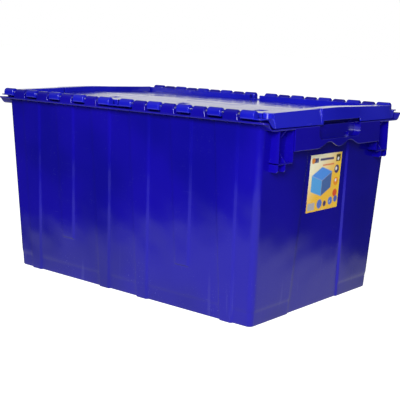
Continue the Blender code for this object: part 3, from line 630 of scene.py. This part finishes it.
def rim_loop():
    """The section at each point of the path: root, rounded nose and root again, as a closed ring."""
    edge, root = rim_half_path()
    edge = np.concatenate([edge, edge * (-1, -1, 1)])
    root = np.concatenate([root, root * (-1, -1, 1)])
    out = edge - root
    reach = np.linalg.norm(out, axis=1)
    out = out / reach[:, None]
    thick = SHELF_THICK + (RIM_THICK - SHELF_THICK) * ramp(edge[:, 2], SHELF_TOP, RIM_TOP)
    nose = 1.2 * MM
    turn = np.radians(np.linspace(-90, 90, 7))
    rings = [root - np.outer(thick, (0, 0, 1))]
    for angle in turn:
        lift = -thick / 2 + (thick / 2 - nose) * np.sign(np.round(angle, 6)) + nose * np.sin(angle)
        rings.append(root + out * (reach - nose + nose * np.cos(angle))[:, None] + np.outer(lift, (0, 0, 1)))
    rings.append(root)
    grid = np.stack(rings, axis=1)
    return grid.reshape(-1, 3), grid_faces(len(edge), len(rings), True, True).tolist()


moulded("body_rim", [rim_loop()], edge=0)

# %% [markdown]
# ## Hinge tabs and webs
#
# Each tab is an outline seen from the side, pushed along the crate. Its ends lean together towards the
# top, so the section narrows with height. Small webs stiffen the rim from below.

# %% Tabs and webs
KNUCKLE_WIDTH = 30.4 * MM
KNUCKLES_PER_ROW = 5
ROW_START = 27.7 / 2 * MM
ROW_END = HANDLE_X - 25.0 * MM
PITCH = (ROW_END - KNUCKLE_WIDTH - ROW_START) / (KNUCKLES_PER_ROW - 1)
right_row = ROW_START + PITCH * np.arange(KNUCKLES_PER_ROW)
KNUCKLE_X = np.concatenate([-right_row[::-1] - KNUCKLE_WIDTH, right_row])
right_tabs = right_row[:-1] + (PITCH + KNUCKLE_WIDTH) / 2
TAB_X = np.concatenate([-right_tabs[::-1], right_tabs])
TAB_RADIUS = KNUCKLE_RADIUS - 0.8 * MM
TAB_FOOT, TAB_HEAD = 36.0 * MM, 25.0 * MM
WEB_PITCH = 29.6 * MM
WEB_DEPTH = 5.0 * MM


def tab(x, side_y):
    """A dome over the rim: a round-topped section whose half width falls evenly from foot to head."""
    low = RIM_TOP - AXIS_Z - 1 * MM
    outline = [(7.8 * MM, low), (TAB_RADIUS, -3.4 * MM)]
    dome = arc((0, 0), TAB_RADIUS, 0, 180, 12)[1:-1]
    outline = np.concatenate([outline, dome, [(-TAB_RADIUS, 0), (-TAB_RADIUS, low)]])
    half = TAB_FOOT / 2 - (TAB_FOOT - TAB_HEAD) / 2 * (outline[:, 1] - low) / (TAB_RADIUS - low)
    y, z = side_y * (AXIS_Y + outline[:, 0]), AXIS_Z + outline[:, 1]
    ends = [np.column_stack([x + sign * half, y, z]) for sign in (-1, 1)]
    return tube(np.stack(ends))


def web(x, side_y):
    """A thin wall under the rim, deep at the crate's wall and shallow at the rim's edge."""
    root = HALF_Y + LEAN * RIM_TOP - 1 * MM
    tip = RIM_Y - 8.5 * MM
    low = RIM_TOP - RIM_THICK
    deep = low - WEB_DEPTH
    outline = [(root, low + 1 * MM), (root, deep), (root + 1.2 * MM, deep)]
    outline += [(tip, low - 1.4 * MM), (tip, low + 1 * MM)]
    return prism([(side_y * y, z) for y, z in outline], x - 1 * MM, x + 1 * MM, ALONG_X)


moulded("hinge_tabs", [tab(x, y) for x in TAB_X for y in (-1, 1)], edge=1.8 * MM)
web_count = int(ROW_END / WEB_PITCH)
webs = [web(i * WEB_PITCH, y) for i in range(-web_count, web_count + 1) for y in (-1, 1)]
moulded("rim_webs", webs, edge=0.4 * MM)

# %% [markdown]
# ## Handles and brackets
#
# The handle is a panel that hangs from the shelf. Its lower edge has two finger waves, and above them a
# recess for the thumb is let into the panel. Box brackets stand on both sides of it.

# %% Handle
HANDLE_Z = SHELF_TOP - SHELF_THICK - 38.5 * MM
LEDGE_Z = SHELF_TOP - SHELF_THICK - 22.5 * MM
HANDLE_SKIN = 3.0 * MM
BRACKET_OUT = RIM_Y - 50.0 * MM
BRACKET_IN = BRACKET_OUT - 46.0 * MM
BRACKET_FACE = HANDLE_X - 4.0 * MM
BRACKET_Z = SHELF_TOP - SHELF_THICK - 59.5 * MM
BRACKET_SKIN = 2.6 * MM
GRIP_WAVE = 10.5 * MM
GRIP_CORNER = 12.0 * MM


def recess_line(grow, steps=8):
    """The U-shaped edge of the recess, from its upper right to its upper left, grown outwards by grow."""
    half, corner = RECESS_HALF + grow, GRIP_CORNER + grow
    low = LEDGE_Z - grow
    right = arc((half - corner, low + corner), corner, 0, -90, steps)
    left = arc((corner - half, low + corner), corner, -90, -180, steps)
    return np.concatenate([right, left])


def grip_waves():
    """Lower edge of the grip from left to right: two waves, each a squared sine."""
    share = np.linspace(0, 1, 41)
    z = HANDLE_Z + GRIP_WAVE * np.sin(2 * np.pi * share) ** 2
    return np.column_stack([GRIP_HALF * (2 * share - 1), z])


def handle():
    """The panel with its U-shaped opening, the strip round the recess, and the sheet at the recess's back."""
    top = SHELF_TOP - 1 * MM
    far = BRACKET_IN + BRACKET_SKIN
    outline = np.concatenate([[(-far, top), (-far, HANDLE_Z)], grip_waves(), [(far, HANDLE_Z), (far, top)]])
    outline = np.concatenate([outline, [(RECESS_HALF, top)], recess_line(0), [(-RECESS_HALF, top)]])
    skin = prism(outline, HANDLE_X - HANDLE_SKIN, HANDLE_X, ALONG_X)
    inner, outer = recess_line(0), recess_line(HANDLE_SKIN)
    high = SHELF_TOP - 0.5 * MM
    ends = ([(RECESS_HALF, high)], [(-RECESS_HALF, high)])
    wide = RECESS_HALF + HANDLE_SKIN
    strip = np.concatenate([ends[0], inner, ends[1], [(-wide, high)], outer[::-1], [(wide, high)]])
    back = HANDLE_X - GRIP_SINK
    side_strip = prism(strip, back - 1 * MM, HANDLE_X - 1.2 * MM, ALONG_X)
    sheet = np.concatenate([[(wide, high)], outer, [(-wide, high)]])
    deep = HALF_X + LEAN * SHELF_TOP - 1 * MM
    return [skin, side_strip, prism(sheet, deep, back, ALONG_X)]


def bracket():
    """Two cheeks, a hollowed middle rib, a bottom and two short ribs below it, for the corner at +X, +Y."""
    wall = HALF_X + LEAN * BRACKET_Z - WALL / 2
    high = SHELF_TOP - 1 * MM
    skin = BRACKET_SKIN
    depth = (wall, BRACKET_FACE)
    shapes = [box(depth, (y, y + skin), (BRACKET_Z, high)) for y in (BRACKET_IN, BRACKET_OUT - skin)]
    shapes.append(box(depth, (BRACKET_IN, BRACKET_OUT), (BRACKET_Z, BRACKET_Z + skin)))
    middle = (BRACKET_IN + BRACKET_OUT) / 2
    low, top = BRACKET_Z + skin - 0.5 * MM, SHELF_TOP - SHELF_THICK + 0.5 * MM
    waist = BRACKET_FACE - 14 * MM
    rib = [(wall, low), (BRACKET_FACE - 0.4 * MM, low), (waist, low + 17 * MM), (waist, top - 17 * MM)]
    rib += [(BRACKET_FACE - 0.4 * MM, top), (wall, top)]
    shapes.append(prism(rib, middle - skin / 2, middle + skin / 2, ALONG_Y))
    outer = BRACKET_FACE - 0.5 * MM
    for y in (middle - skin / 2, BRACKET_OUT - skin):
        foot = [(wall, BRACKET_Z + 1 * MM), (outer, BRACKET_Z + 1 * MM), (outer, BRACKET_Z - 11 * MM)]
        foot += [(outer - 3 * MM, BRACKET_Z - 14 * MM), (wall - 1.0 * MM, BRACKET_Z - 14 * MM)]
        shapes.append(prism(foot, y, y + skin, ALONG_Y))
    return shapes


def seal_lug():
    """A small solid lug on the ledge of the recess, with its upper outer corner rounded."""
    inner = HANDLE_X - GRIP_SINK - 0.5 * MM
    outline = np.concatenate(
        [
            [(inner, LEDGE_Z - 0.5 * MM), (inner + 5 * MM, LEDGE_Z - 0.5 * MM)],
            arc((inner + 2.5 * MM, LEDGE_Z + 6 * MM), 2.5 * MM, 0, 90, 5),
            [(inner, LEDGE_Z + 8.5 * MM)],
        ]
    )
    across = GRIP_HALF - 30 * MM
    return prism(outline, across - 1.5 * MM, across + 1.5 * MM, ALONG_Y)


handle_shapes = [mirror(shape, x) for shape in handle() for x in (1, -1)]
moulded("handles", handle_shapes, edge=0.8 * MM)
moulded("brackets", four_corners(bracket()), edge=0.5 * MM)
lug = seal_lug()
moulded("seal_eyes", [lug, mirror(lug, -1, -1)], edge=0.5 * MM)

# %% [markdown]
# ## Lids
#
# Both lids are one moulding, and the front one is it turned half round. The panel is a plan outline with
# square fingers, slightly crowned. A hollow curb runs round three sides of it, and at the short sides a
# leaning skirt hangs from the curb and ends in a short slant at the corners.

# %% Lid panel
SEAM_STEP = 28.0 * MM
SEAM_STEPS = np.array([-275.0, -132.0, 0.0, 132.0, 275.0]) * MM
HIGH_LOW, HIGH_HIGH = -56.0 * MM, 79.0 * MM
SEAM_LEVELS = np.array([-HIGH_HIGH, -SEAM_STEP, SEAM_STEP, -SEAM_STEP, SEAM_STEP, HIGH_HIGH])
SEAM_GAP, END_SEAM_GAP = 2.0 * MM, 3.0 * MM
LID_RISE = 5.0 * MM
CURB_IN_X, CURB_IN_Y = CURB_X - CURB_WIDTH, CURB_Y - CURB_WIDTH
GATE_DEPTH = 2.0 * MM


def rounded(corners, radius, steps=5):
    """A closed outline with an arc of that radius in place of each right-angled corner."""
    corners = np.asarray(corners, float)
    before = np.roll(corners, 1, axis=0) - corners
    after = np.roll(corners, -1, axis=0) - corners
    before /= np.linalg.norm(before, axis=1)[:, None]
    after /= np.linalg.norm(after, axis=1)[:, None]
    centre = corners + radius * (before + after)
    turn = np.radians(np.linspace(0, 90, steps + 1))[None, :, None]
    arcs = centre[:, None] - radius * (np.cos(turn) * after[:, None] + np.sin(turn) * before[:, None])
    return arcs.reshape(-1, 2)


def seam_outline():
    """Corners of the seam seen from above, from one end to the other, on the rear lid's side of its gap."""
    reach = CURB_IN_X + 1 * MM
    gap = np.where(np.abs(SEAM_LEVELS) > SEAM_STEP, END_SEAM_GAP, SEAM_GAP) / 2
    levels = SEAM_LEVELS + gap
    rise = np.sign(np.diff(SEAM_LEVELS))
    x = SEAM_STEPS - rise * SEAM_GAP / 2
    points = [(-reach, levels[0])]
    for index, step in enumerate(x):
        points += [(step, levels[index]), (step, levels[index + 1])]
    return points + [(reach, levels[-1])]


def lid_panel():
    """The plan outline given its thickness, cut where it bends, with the squares sunk, then crowned."""
    seam = seam_outline()
    corners = seam + [(CURB_IN_X + 1 * MM, CURB_IN_Y + 1 * MM), (-CURB_IN_X - 1 * MM, CURB_IN_Y + 1 * MM)]
    outline = rounded(corners, 3 * MM)
    points, faces = prism(outline, -LID_WALL, 0, ALONG_Z)
    work = bmesh.new()
    verts = [work.verts.new(point) for point in points.tolist()]
    for face in faces:
        work.faces.new([verts[index] for index in face])
    bmesh.ops.recalc_face_normals(work, faces=work.faces)
    cuts = [((0, y, 0), (0, 1, 0)) for y in (-10 * MM, -5 * MM, 0, 5 * MM, 10 * MM)]
    cuts += [((0, GATE_Y + s * GATE_HALF, 0), (0, 1, 0)) for s in (-1, 1)]
    cuts += [((x + s * GATE_HALF, 0, 0), (1, 0, 0)) for x in GATE_X for s in (-1, 1)]
    for place, normal in cuts:
        everything = work.verts[:] + work.edges[:] + work.faces[:]
        bmesh.ops.bisect_plane(work, geom=everything, plane_co=place, plane_no=normal)
    wells = []
    for face in work.faces:
        middle = face.calc_center_median()
        inside = abs(middle.y - GATE_Y) < GATE_HALF and np.abs(GATE_X - middle.x).min() < GATE_HALF
        if face.normal.z > 0.9 and inside:
            wells.append(face)
    pushed = bmesh.ops.extrude_face_region(work, geom=wells)["geom"]
    moved = [item for item in pushed if isinstance(item, bmesh.types.BMVert)]
    bmesh.ops.translate(work, vec=(0, 0, -GATE_DEPTH), verts=moved)
    bmesh.ops.delete(work, geom=wells, context="FACES")
    work.verts.index_update()
    points = np.array([vert.co for vert in work.verts])
    faces = [[vert.index for vert in face.verts] for face in work.faces]
    work.free()
    away = np.sqrt(points[:, 1] ** 2 + (6 * MM) ** 2) - 6 * MM
    points[:, 2] += PANEL_Z + LID_RISE * (1 - away / CURB_IN_Y)
    return points, faces


# %% [markdown]
# ### Curb, strip and knuckles
#
# The curb beside the hinge is a hollow bar, in two lengths with a notch between them. The strip outside
# it is a comb: its slots let the tabs through, and a knuckle stands on each tongue.

# %% Curb, strip and knuckles
STRIP_TOP = PANEL_Z + 2.4 * MM
STRIP_OUT = AXIS_Y + KNUCKLE_RADIUS - 1.8 * MM
SLOT_Y = AXIS_Y - TAB_RADIUS - 2.1 * MM
SLOT_HALF = (PITCH - KNUCKLE_WIDTH) / 2
NOTCH_HALF = 13.5 * MM


def curb_bar():
    """A channel open below, as an outline of (y, z), pushed along each half of the hinge side."""
    low, wall = PANEL_Z - LID_WALL, LID_WALL
    outline = [(CURB_IN_Y, low), (CURB_IN_Y + 0.3 * MM, CURB_Z), (CURB_Y - 0.2 * MM, CURB_Z), (CURB_Y, low)]
    outline += [(CURB_Y - wall, low), (CURB_Y - wall, CURB_Z - wall), (CURB_IN_Y + wall, CURB_Z - wall)]
    outline += [(CURB_IN_Y + wall, low)]
    spans = ((-CURB_X, -NOTCH_HALF), (NOTCH_HALF, CURB_X))
    return [prism(outline, start, end, ALONG_X) for start, end in spans]


def curb_ends():
    """Thin walls that close the two bars at the notch, and the low bridge between them."""
    walls = []
    for x, outer in ((NOTCH_HALF, 1), (-NOTCH_HALF, -1)):
        walls.append(box((x, x + outer * LID_WALL), (CURB_IN_Y, CURB_Y), (PANEL_Z - 1 * MM, CURB_Z)))
    across = (CURB_IN_Y - 0.5 * MM, CURB_Y + 0.5 * MM)
    bridge = box((-NOTCH_HALF, NOTCH_HALF), across, (PANEL_Z - LID_WALL, STRIP_TOP - 0.2 * MM))
    return walls + [bridge]


def strip_comb():
    """The strip seen from above: along its back, then out and back round each slot."""
    inner = CURB_Y - 0.5 * MM
    far = SKIRT_X - 3.5 * MM
    corner = [(far, STRIP_OUT - 14 * MM), (far - 2 * MM, STRIP_OUT - 7 * MM)]
    corner += [(far - 6 * MM, STRIP_OUT - 2 * MM), (far - 12 * MM, STRIP_OUT)]
    outline = [(far, inner), (-far, inner)] + [(-x, y) for x, y in corner]
    for x in TAB_X:
        left, right = x - SLOT_HALF, x + SLOT_HALF
        outline += [(left, STRIP_OUT), (left, SLOT_Y), (right, SLOT_Y), (right, STRIP_OUT)]
    outline += [(x, y) for x, y in corner[::-1]]
    return prism(outline, PANEL_Z, STRIP_TOP, ALONG_Z)


def knuckle(x):
    """Round over the rod and square below, with its lower outer edge rounded."""
    radius, corner = KNUCKLE_RADIUS, 3.0 * MM
    over = arc((0, 0), radius, 0, 180, 20)
    under = arc((radius - corner, corner - radius), corner, -90, 0, 5)
    outline = np.concatenate([over, [(-radius, -radius)], under]) + (AXIS_Y, AXIS_Z)
    return prism(outline, x, x + KNUCKLE_WIDTH, ALONG_X)


# %% [markdown]
# ### Skirts
#
# A skirt is a loft: the same eight-point section, panel lip, curb and leaning wall with their inner
# sides, at each step along the short side. Its top edge rises towards the middle. At the corner the wall
# ends in a short slant, no higher than the hinge strip, and the curb above it is swept round a bend.

# %% Skirts
SKIRT_TOP_X = SKIRT_X - 6.0 * MM  # the skirt's outer face at its top edge
SKIRT_CROWN = 4.0 * MM  # rise of that edge towards the middle of the short side
SKIRT_BEND = SKIRT_Y - 4.5 * MM  # where the edge starts to bend round the corner
SKIRT_END = SKIRT_Y + 14.5 * MM
BEND_RADIUS = CURB_Y - SKIRT_BEND
EDGE_Z = CURB_Z + 0.6 * MM


def edge_height(y):
    """Height of the top edge: it rises in a straight line from each corner to the middle."""
    return EDGE_Z + SKIRT_CROWN * (1 - np.minimum(np.abs(y) / SKIRT_BEND, 1))


def skirt_sections(y, low, top):
    """A leaning wall under a hollow curb: an eight-point section at each y, from low to top."""
    wall, inner = LID_WALL, CURB_IN_X
    lean = (SKIRT_X - SKIRT_TOP_X) / (EDGE_Z - SKIRT_Z)
    outer = SKIRT_TOP_X + lean * (EDGE_Z - low)
    ends = np.ones(len(y))
    lip = np.minimum(top - 1 * MM, PANEL_Z)
    columns = [
        (inner * ends, lip),
        ((inner + 1 * MM) * ends, top),
        (SKIRT_TOP_X * ends, top),
        (outer, low),
        (outer - wall, low),
        ((SKIRT_TOP_X - wall) * ends, np.maximum(top - wall, low + 0.3 * MM)),
        ((inner + wall + 1 * MM) * ends, top - wall),
        ((inner + wall) * ends, lip - wall),
    ]
    return tube(np.stack([np.column_stack([x, y, z]) for x, z in columns], axis=1))


def deep_skirt(start, side_x):
    """The deep skirt from start to the corner, and its short slanting end, no higher than the hinge strip."""
    y = np.concatenate([np.linspace(start, SKIRT_BEND, 8), SKIRT_BEND + np.array([0.1, 4.5]) * MM])
    y = np.concatenate([y, np.linspace(SKIRT_Y + 1 * MM, SKIRT_END, 8)])
    low = SKIRT_Z + (STRIP_TOP - 1.5 * MM - SKIRT_Z) * ramp(y, SKIRT_Y - 1 * MM, SKIRT_END + 1 * MM)
    top = np.where(y > SKIRT_BEND + 0.05 * MM, STRIP_TOP, edge_height(y))
    points, faces = skirt_sections(y, low, top)
    return points * (side_x, 1, 1), faces


def curb_corner(side_x):
    """The curb's outer wall and top carried round the corner: its section turned about the bend's centre."""
    turn = np.radians(np.linspace(0, 90, 9))
    inside, low = BEND_RADIUS - 8 * MM, PANEL_Z - 0.5 * MM
    section = [(inside, low), (inside, EDGE_Z), (BEND_RADIUS, EDGE_Z), (BEND_RADIUS + 0.6 * MM, low)]
    rings = []
    for radius, z in section:
        x = SKIRT_TOP_X - BEND_RADIUS + radius * np.cos(turn)
        rings.append(np.column_stack([x, SKIRT_BEND + radius * np.sin(turn), np.full(len(turn), z)]))
    points, faces = tube(np.stack(rings, axis=1))
    return points * (side_x, 1, 1), faces


def high_skirt():
    """The shallow skirt of the far end, a little prouder, and the rounded cheek where the deep one starts."""
    wall, inner = LID_WALL, CURB_IN_X
    low, face = AXIS_Z - 15.9 * MM, SKIRT_X - 2.2 * MM
    y = np.linspace(-HIGH_HIGH + END_SEAM_GAP / 2, -HIGH_LOW, 9)
    top = edge_height(y) + 0.3 * MM
    ends = np.ones(9)
    columns = [
        (inner * ends, PANEL_Z * ends),
        ((inner + 1 * MM) * ends, top),
        (face * ends, top),
        (SKIRT_X * ends, low * ends),
        ((SKIRT_X - wall) * ends, low * ends),
        ((face - wall) * ends, top - wall),
        ((inner + wall + 1 * MM) * ends, top - wall),
        ((inner + wall) * ends, (PANEL_Z - wall) * ends),
    ]
    strip = tube(np.stack([np.column_stack([-x, y, z]) for x, z in columns], axis=1))
    end = -HIGH_LOW
    cheek = [(SKIRT_TOP_X - wall, EDGE_Z), (face, EDGE_Z + 2 * MM), (SKIRT_X, low)]
    cheek += [(SKIRT_X + 0.4 * MM, SKIRT_Z + 7 * MM), (SKIRT_X, SKIRT_Z), (SKIRT_X - wall, SKIRT_Z)]
    return [strip, prism([(-x, z) for x, z in cheek], end - wall, end + 3 * MM, ALONG_Y)]


RIB_PITCH = 92.0 * MM


def lid_ribs():
    """Ribs below the panel. Known fault: the endmost crosswise rib reaches under the other lid's finger."""
    high, low = PANEL_Z - LID_WALL + 0.3 * MM, PANEL_Z - LID_WALL - 4 * MM
    far = CURB_IN_Y - LID_WALL
    half = 1.0 * MM
    count = int(CURB_IN_X / RIB_PITCH)
    seam_at = np.array(seam_outline())
    shapes = []
    start = SEAM_STEP + 2 * MM
    crown = [(start, low), (far, low), (far, high), (start, high + LID_RISE * (1 - start / CURB_IN_Y))]
    for x in RIB_PITCH * np.arange(-count, count + 1):
        shapes.append(prism(crown, x - half, x + half, ALONG_X))
    reach = CURB_IN_X - LID_WALL
    for y in (SEAM_STEP + 3 * MM, (SEAM_STEP + far) / 2, far):
        limit = reach if y > HIGH_HIGH else seam_at[-3][0] - 4 * MM
        top = high + LID_RISE * (1 - y / CURB_IN_Y)
        shapes.append(box((-reach, limit), (y - half, y + half), (low, top)))
    return shapes


# %% [markdown]
# ### Both lids
#
# Each lid is four pieces that turn with it, each with its own rounding: the panel with its ribs, the
# raised edge, the hinge strip and the knuckles. The front lid's are mirrored in x and in y, which is a
# half turn.

# %% Both lids


def lid(name, body, node, turn):
    """The four pieces of one lid, turned half round for the front."""
    around = -1 if turn else 1
    panel = [lid_panel()] + lid_ribs()
    edge = curb_bar() + curb_ends()
    edge += [deep_skirt(HIGH_HIGH + END_SEAM_GAP / 2, 1), deep_skirt(-HIGH_LOW - 0.2 * MM, -1)] + high_skirt()
    edge += [curb_corner(1), curb_corner(-1)]
    knuckles = [knuckle(x) for x in KNUCKLE_X]
    parts = [("panel", panel, 0.4), ("edge", edge, 0.7)]
    parts += [("strip", [strip_comb()], 0.9), ("knuckles", knuckles, 2.8)]
    for part, shapes, rounding in parts:
        turned = [mirror(shape, around, around) for shape in shapes]
        piece(f"{name}_{part}", turned, body, lid_plastic, [node], edge=rounding * MM)


lid("rear_lid", "rear_lid", "lid_rear", False)
lid("front_lid", "front_lid", "lid_front", True)

# %% [markdown]
# ## Camera
#
# The camera looks at the near corner from a little above, so that a long side and the labelled short side
# both show. It is rolled by two degrees. Its three axes are built from the angles, and they are the
# columns of its matrix.

# %% Camera
camera_data = bpy.data.cameras.new("camera")
camera = bpy.data.objects.new("camera", camera_data)
bpy.context.scene.collection.objects.link(camera)
bpy.context.scene.camera = camera
camera_data.lens = 79.8
azimuth, elevation, roll = (math.radians(angle) for angle in (39.5, 10.05, 2.0))
level = math.cos(elevation)
back = Vector((math.sin(azimuth) * level, -math.cos(azimuth) * level, math.sin(elevation)))
right = Vector((math.cos(azimuth), math.sin(azimuth), 0))
up = back.cross(right)
turned_right = right * math.cos(roll) + up * math.sin(roll)
turned_up = up * math.cos(roll) - right * math.sin(roll)
turned = Matrix((turned_right, turned_up, back)).transposed().to_4x4()
camera.matrix_world = Matrix.Translation((1.2112, -1.4426, 0.4998)) @ turned
print("camera with a lens of", round(camera_data.lens, 1), "mm")

# %% [markdown]
# ## Surroundings
#
# Glossy plastic shows what stands round it. The surroundings are greys by height, dark just below the
# horizon, and they are pale only behind the crate as the camera sees it. The sides of the room stay dark,
# so that the walls keep their deep blue.

# %% Surroundings
world = bpy.data.worlds.new("studio")
bpy.context.scene.world = world
world.use_nodes = True
sky = world.node_tree
background = sky.nodes["Background"]
heading = sky.nodes.new("ShaderNodeTexCoord").outputs["Generated"]


def height_tones(steps):
    """Greys by height of the direction, from (height, grey) pairs with height from -1, down, to 1, up."""
    parts, half = sky.nodes.new("ShaderNodeSeparateXYZ"), sky.nodes.new("ShaderNodeMath")
    tones = sky.nodes.new("ShaderNodeValToRGB")
    half.operation = "MULTIPLY_ADD"
    half.inputs[1].default_value = half.inputs[2].default_value = 0.5
    sky.links.new(heading, parts.inputs[0])
    sky.links.new(parts.outputs["Z"], half.inputs[0])
    sky.links.new(half.outputs[0], tones.inputs[0])
    for stop, (height, tone) in zip(list(tones.color_ramp.elements), (steps[0], steps[-1])):
        stop.position, stop.color = (height + 1) / 2, (tone, tone, tone, 1)
    for height, tone in steps[1:-1]:
        tones.color_ramp.elements.new((height + 1) / 2).color = (tone, tone, tone, 1)
    return tones.outputs[0]


below = [(-1.0, 0.30), (-0.40, 0.36), (-0.29, 0.32), (-0.27, 0.03), (-0.05, 0.02)]
backdrop = height_tones(below + [(-0.02, 0.5), (0.085, 0.5), (0.12, 0.42), (0.30, 0.22), (1.0, 0.16)])
room = height_tones(below + [(0.10, 0.03), (0.35, 0.10), (1.0, 0.16)])
towards = sky.nodes.new("ShaderNodeVectorMath")
towards.operation = "DOT_PRODUCT"
towards.inputs[1].default_value = (-0.635, 0.772, 0.0)
share = sky.nodes.new("ShaderNodeMapRange")
share.inputs[1].default_value, share.inputs[2].default_value = 0.70, 0.88
blend = sky.nodes.new("ShaderNodeMix")
blend.data_type = "RGBA"
sky.links.new(heading, towards.inputs[0])
sky.links.new(towards.outputs["Value"], share.inputs[0])
for link_from, index in ((share.outputs[0], 0), (room, 6), (backdrop, 7)):
    sky.links.new(link_from, blend.inputs[index])
sky.links.new(blend.outputs[2], background.inputs["Color"])
background.inputs["Strength"].default_value = 2.0
print("surroundings:", len(sky.nodes), "nodes")

# %% [markdown]
# ## Lamps and floor
#
# Two softboxes light the sides that the camera sees. The floor is plain pale paper. It gives off a little
# light of its own, and reflections leave it out, so that no pale veil lies over the lower part of the
# walls.

# %% Lamps and floor


def soft_light(name, place, aim, width, height, power):
    """A softbox at place, turned to face aim."""
    data = bpy.data.lights.new(name, "AREA")
    data.shape = "RECTANGLE"
    data.size, data.size_y, data.energy = width, height, power
    lamp = bpy.data.objects.new(name, data)
    facing = (Vector(place) - Vector(aim)).to_track_quat("Z", "Y")
    lamp.matrix_world = Matrix.Translation(place) @ facing.to_matrix().to_4x4()
    bpy.context.scene.collection.objects.link(lamp)


soft_light("key", (1.5, -2.3, 1.25), (0, 0, 0.22), 0.8, 0.8, 78)
soft_light("front", (1.8, -2.15, 0.62), (0, 0, 0.3), 0.6, 0.7, 14)

floor_mesh = bpy.data.meshes.new("floor")
reach = 30.0
floor_corners = [(-reach, -reach, 0), (reach, -reach, 0), (reach, reach, 0), (-reach, reach, 0)]
floor_mesh.from_pydata(floor_corners, [], [(0, 1, 2, 3)])
floor = bpy.data.objects.new("floor", floor_mesh)
floor.location.z = -0.3 * MM
bpy.context.scene.collection.objects.link(floor)
floor.visible_glossy = False
floor.visible_diffuse = False
paper = Finish("floor_paper")
paper.set(base_color=(0.9, 0.9, 0.9, 1), roughness=0.9, emission_color=(1, 1, 1, 1), emission_strength=0.86)
floor.data.materials.append(paper.material)
bpy.context.scene.view_settings.view_transform = "Standard"
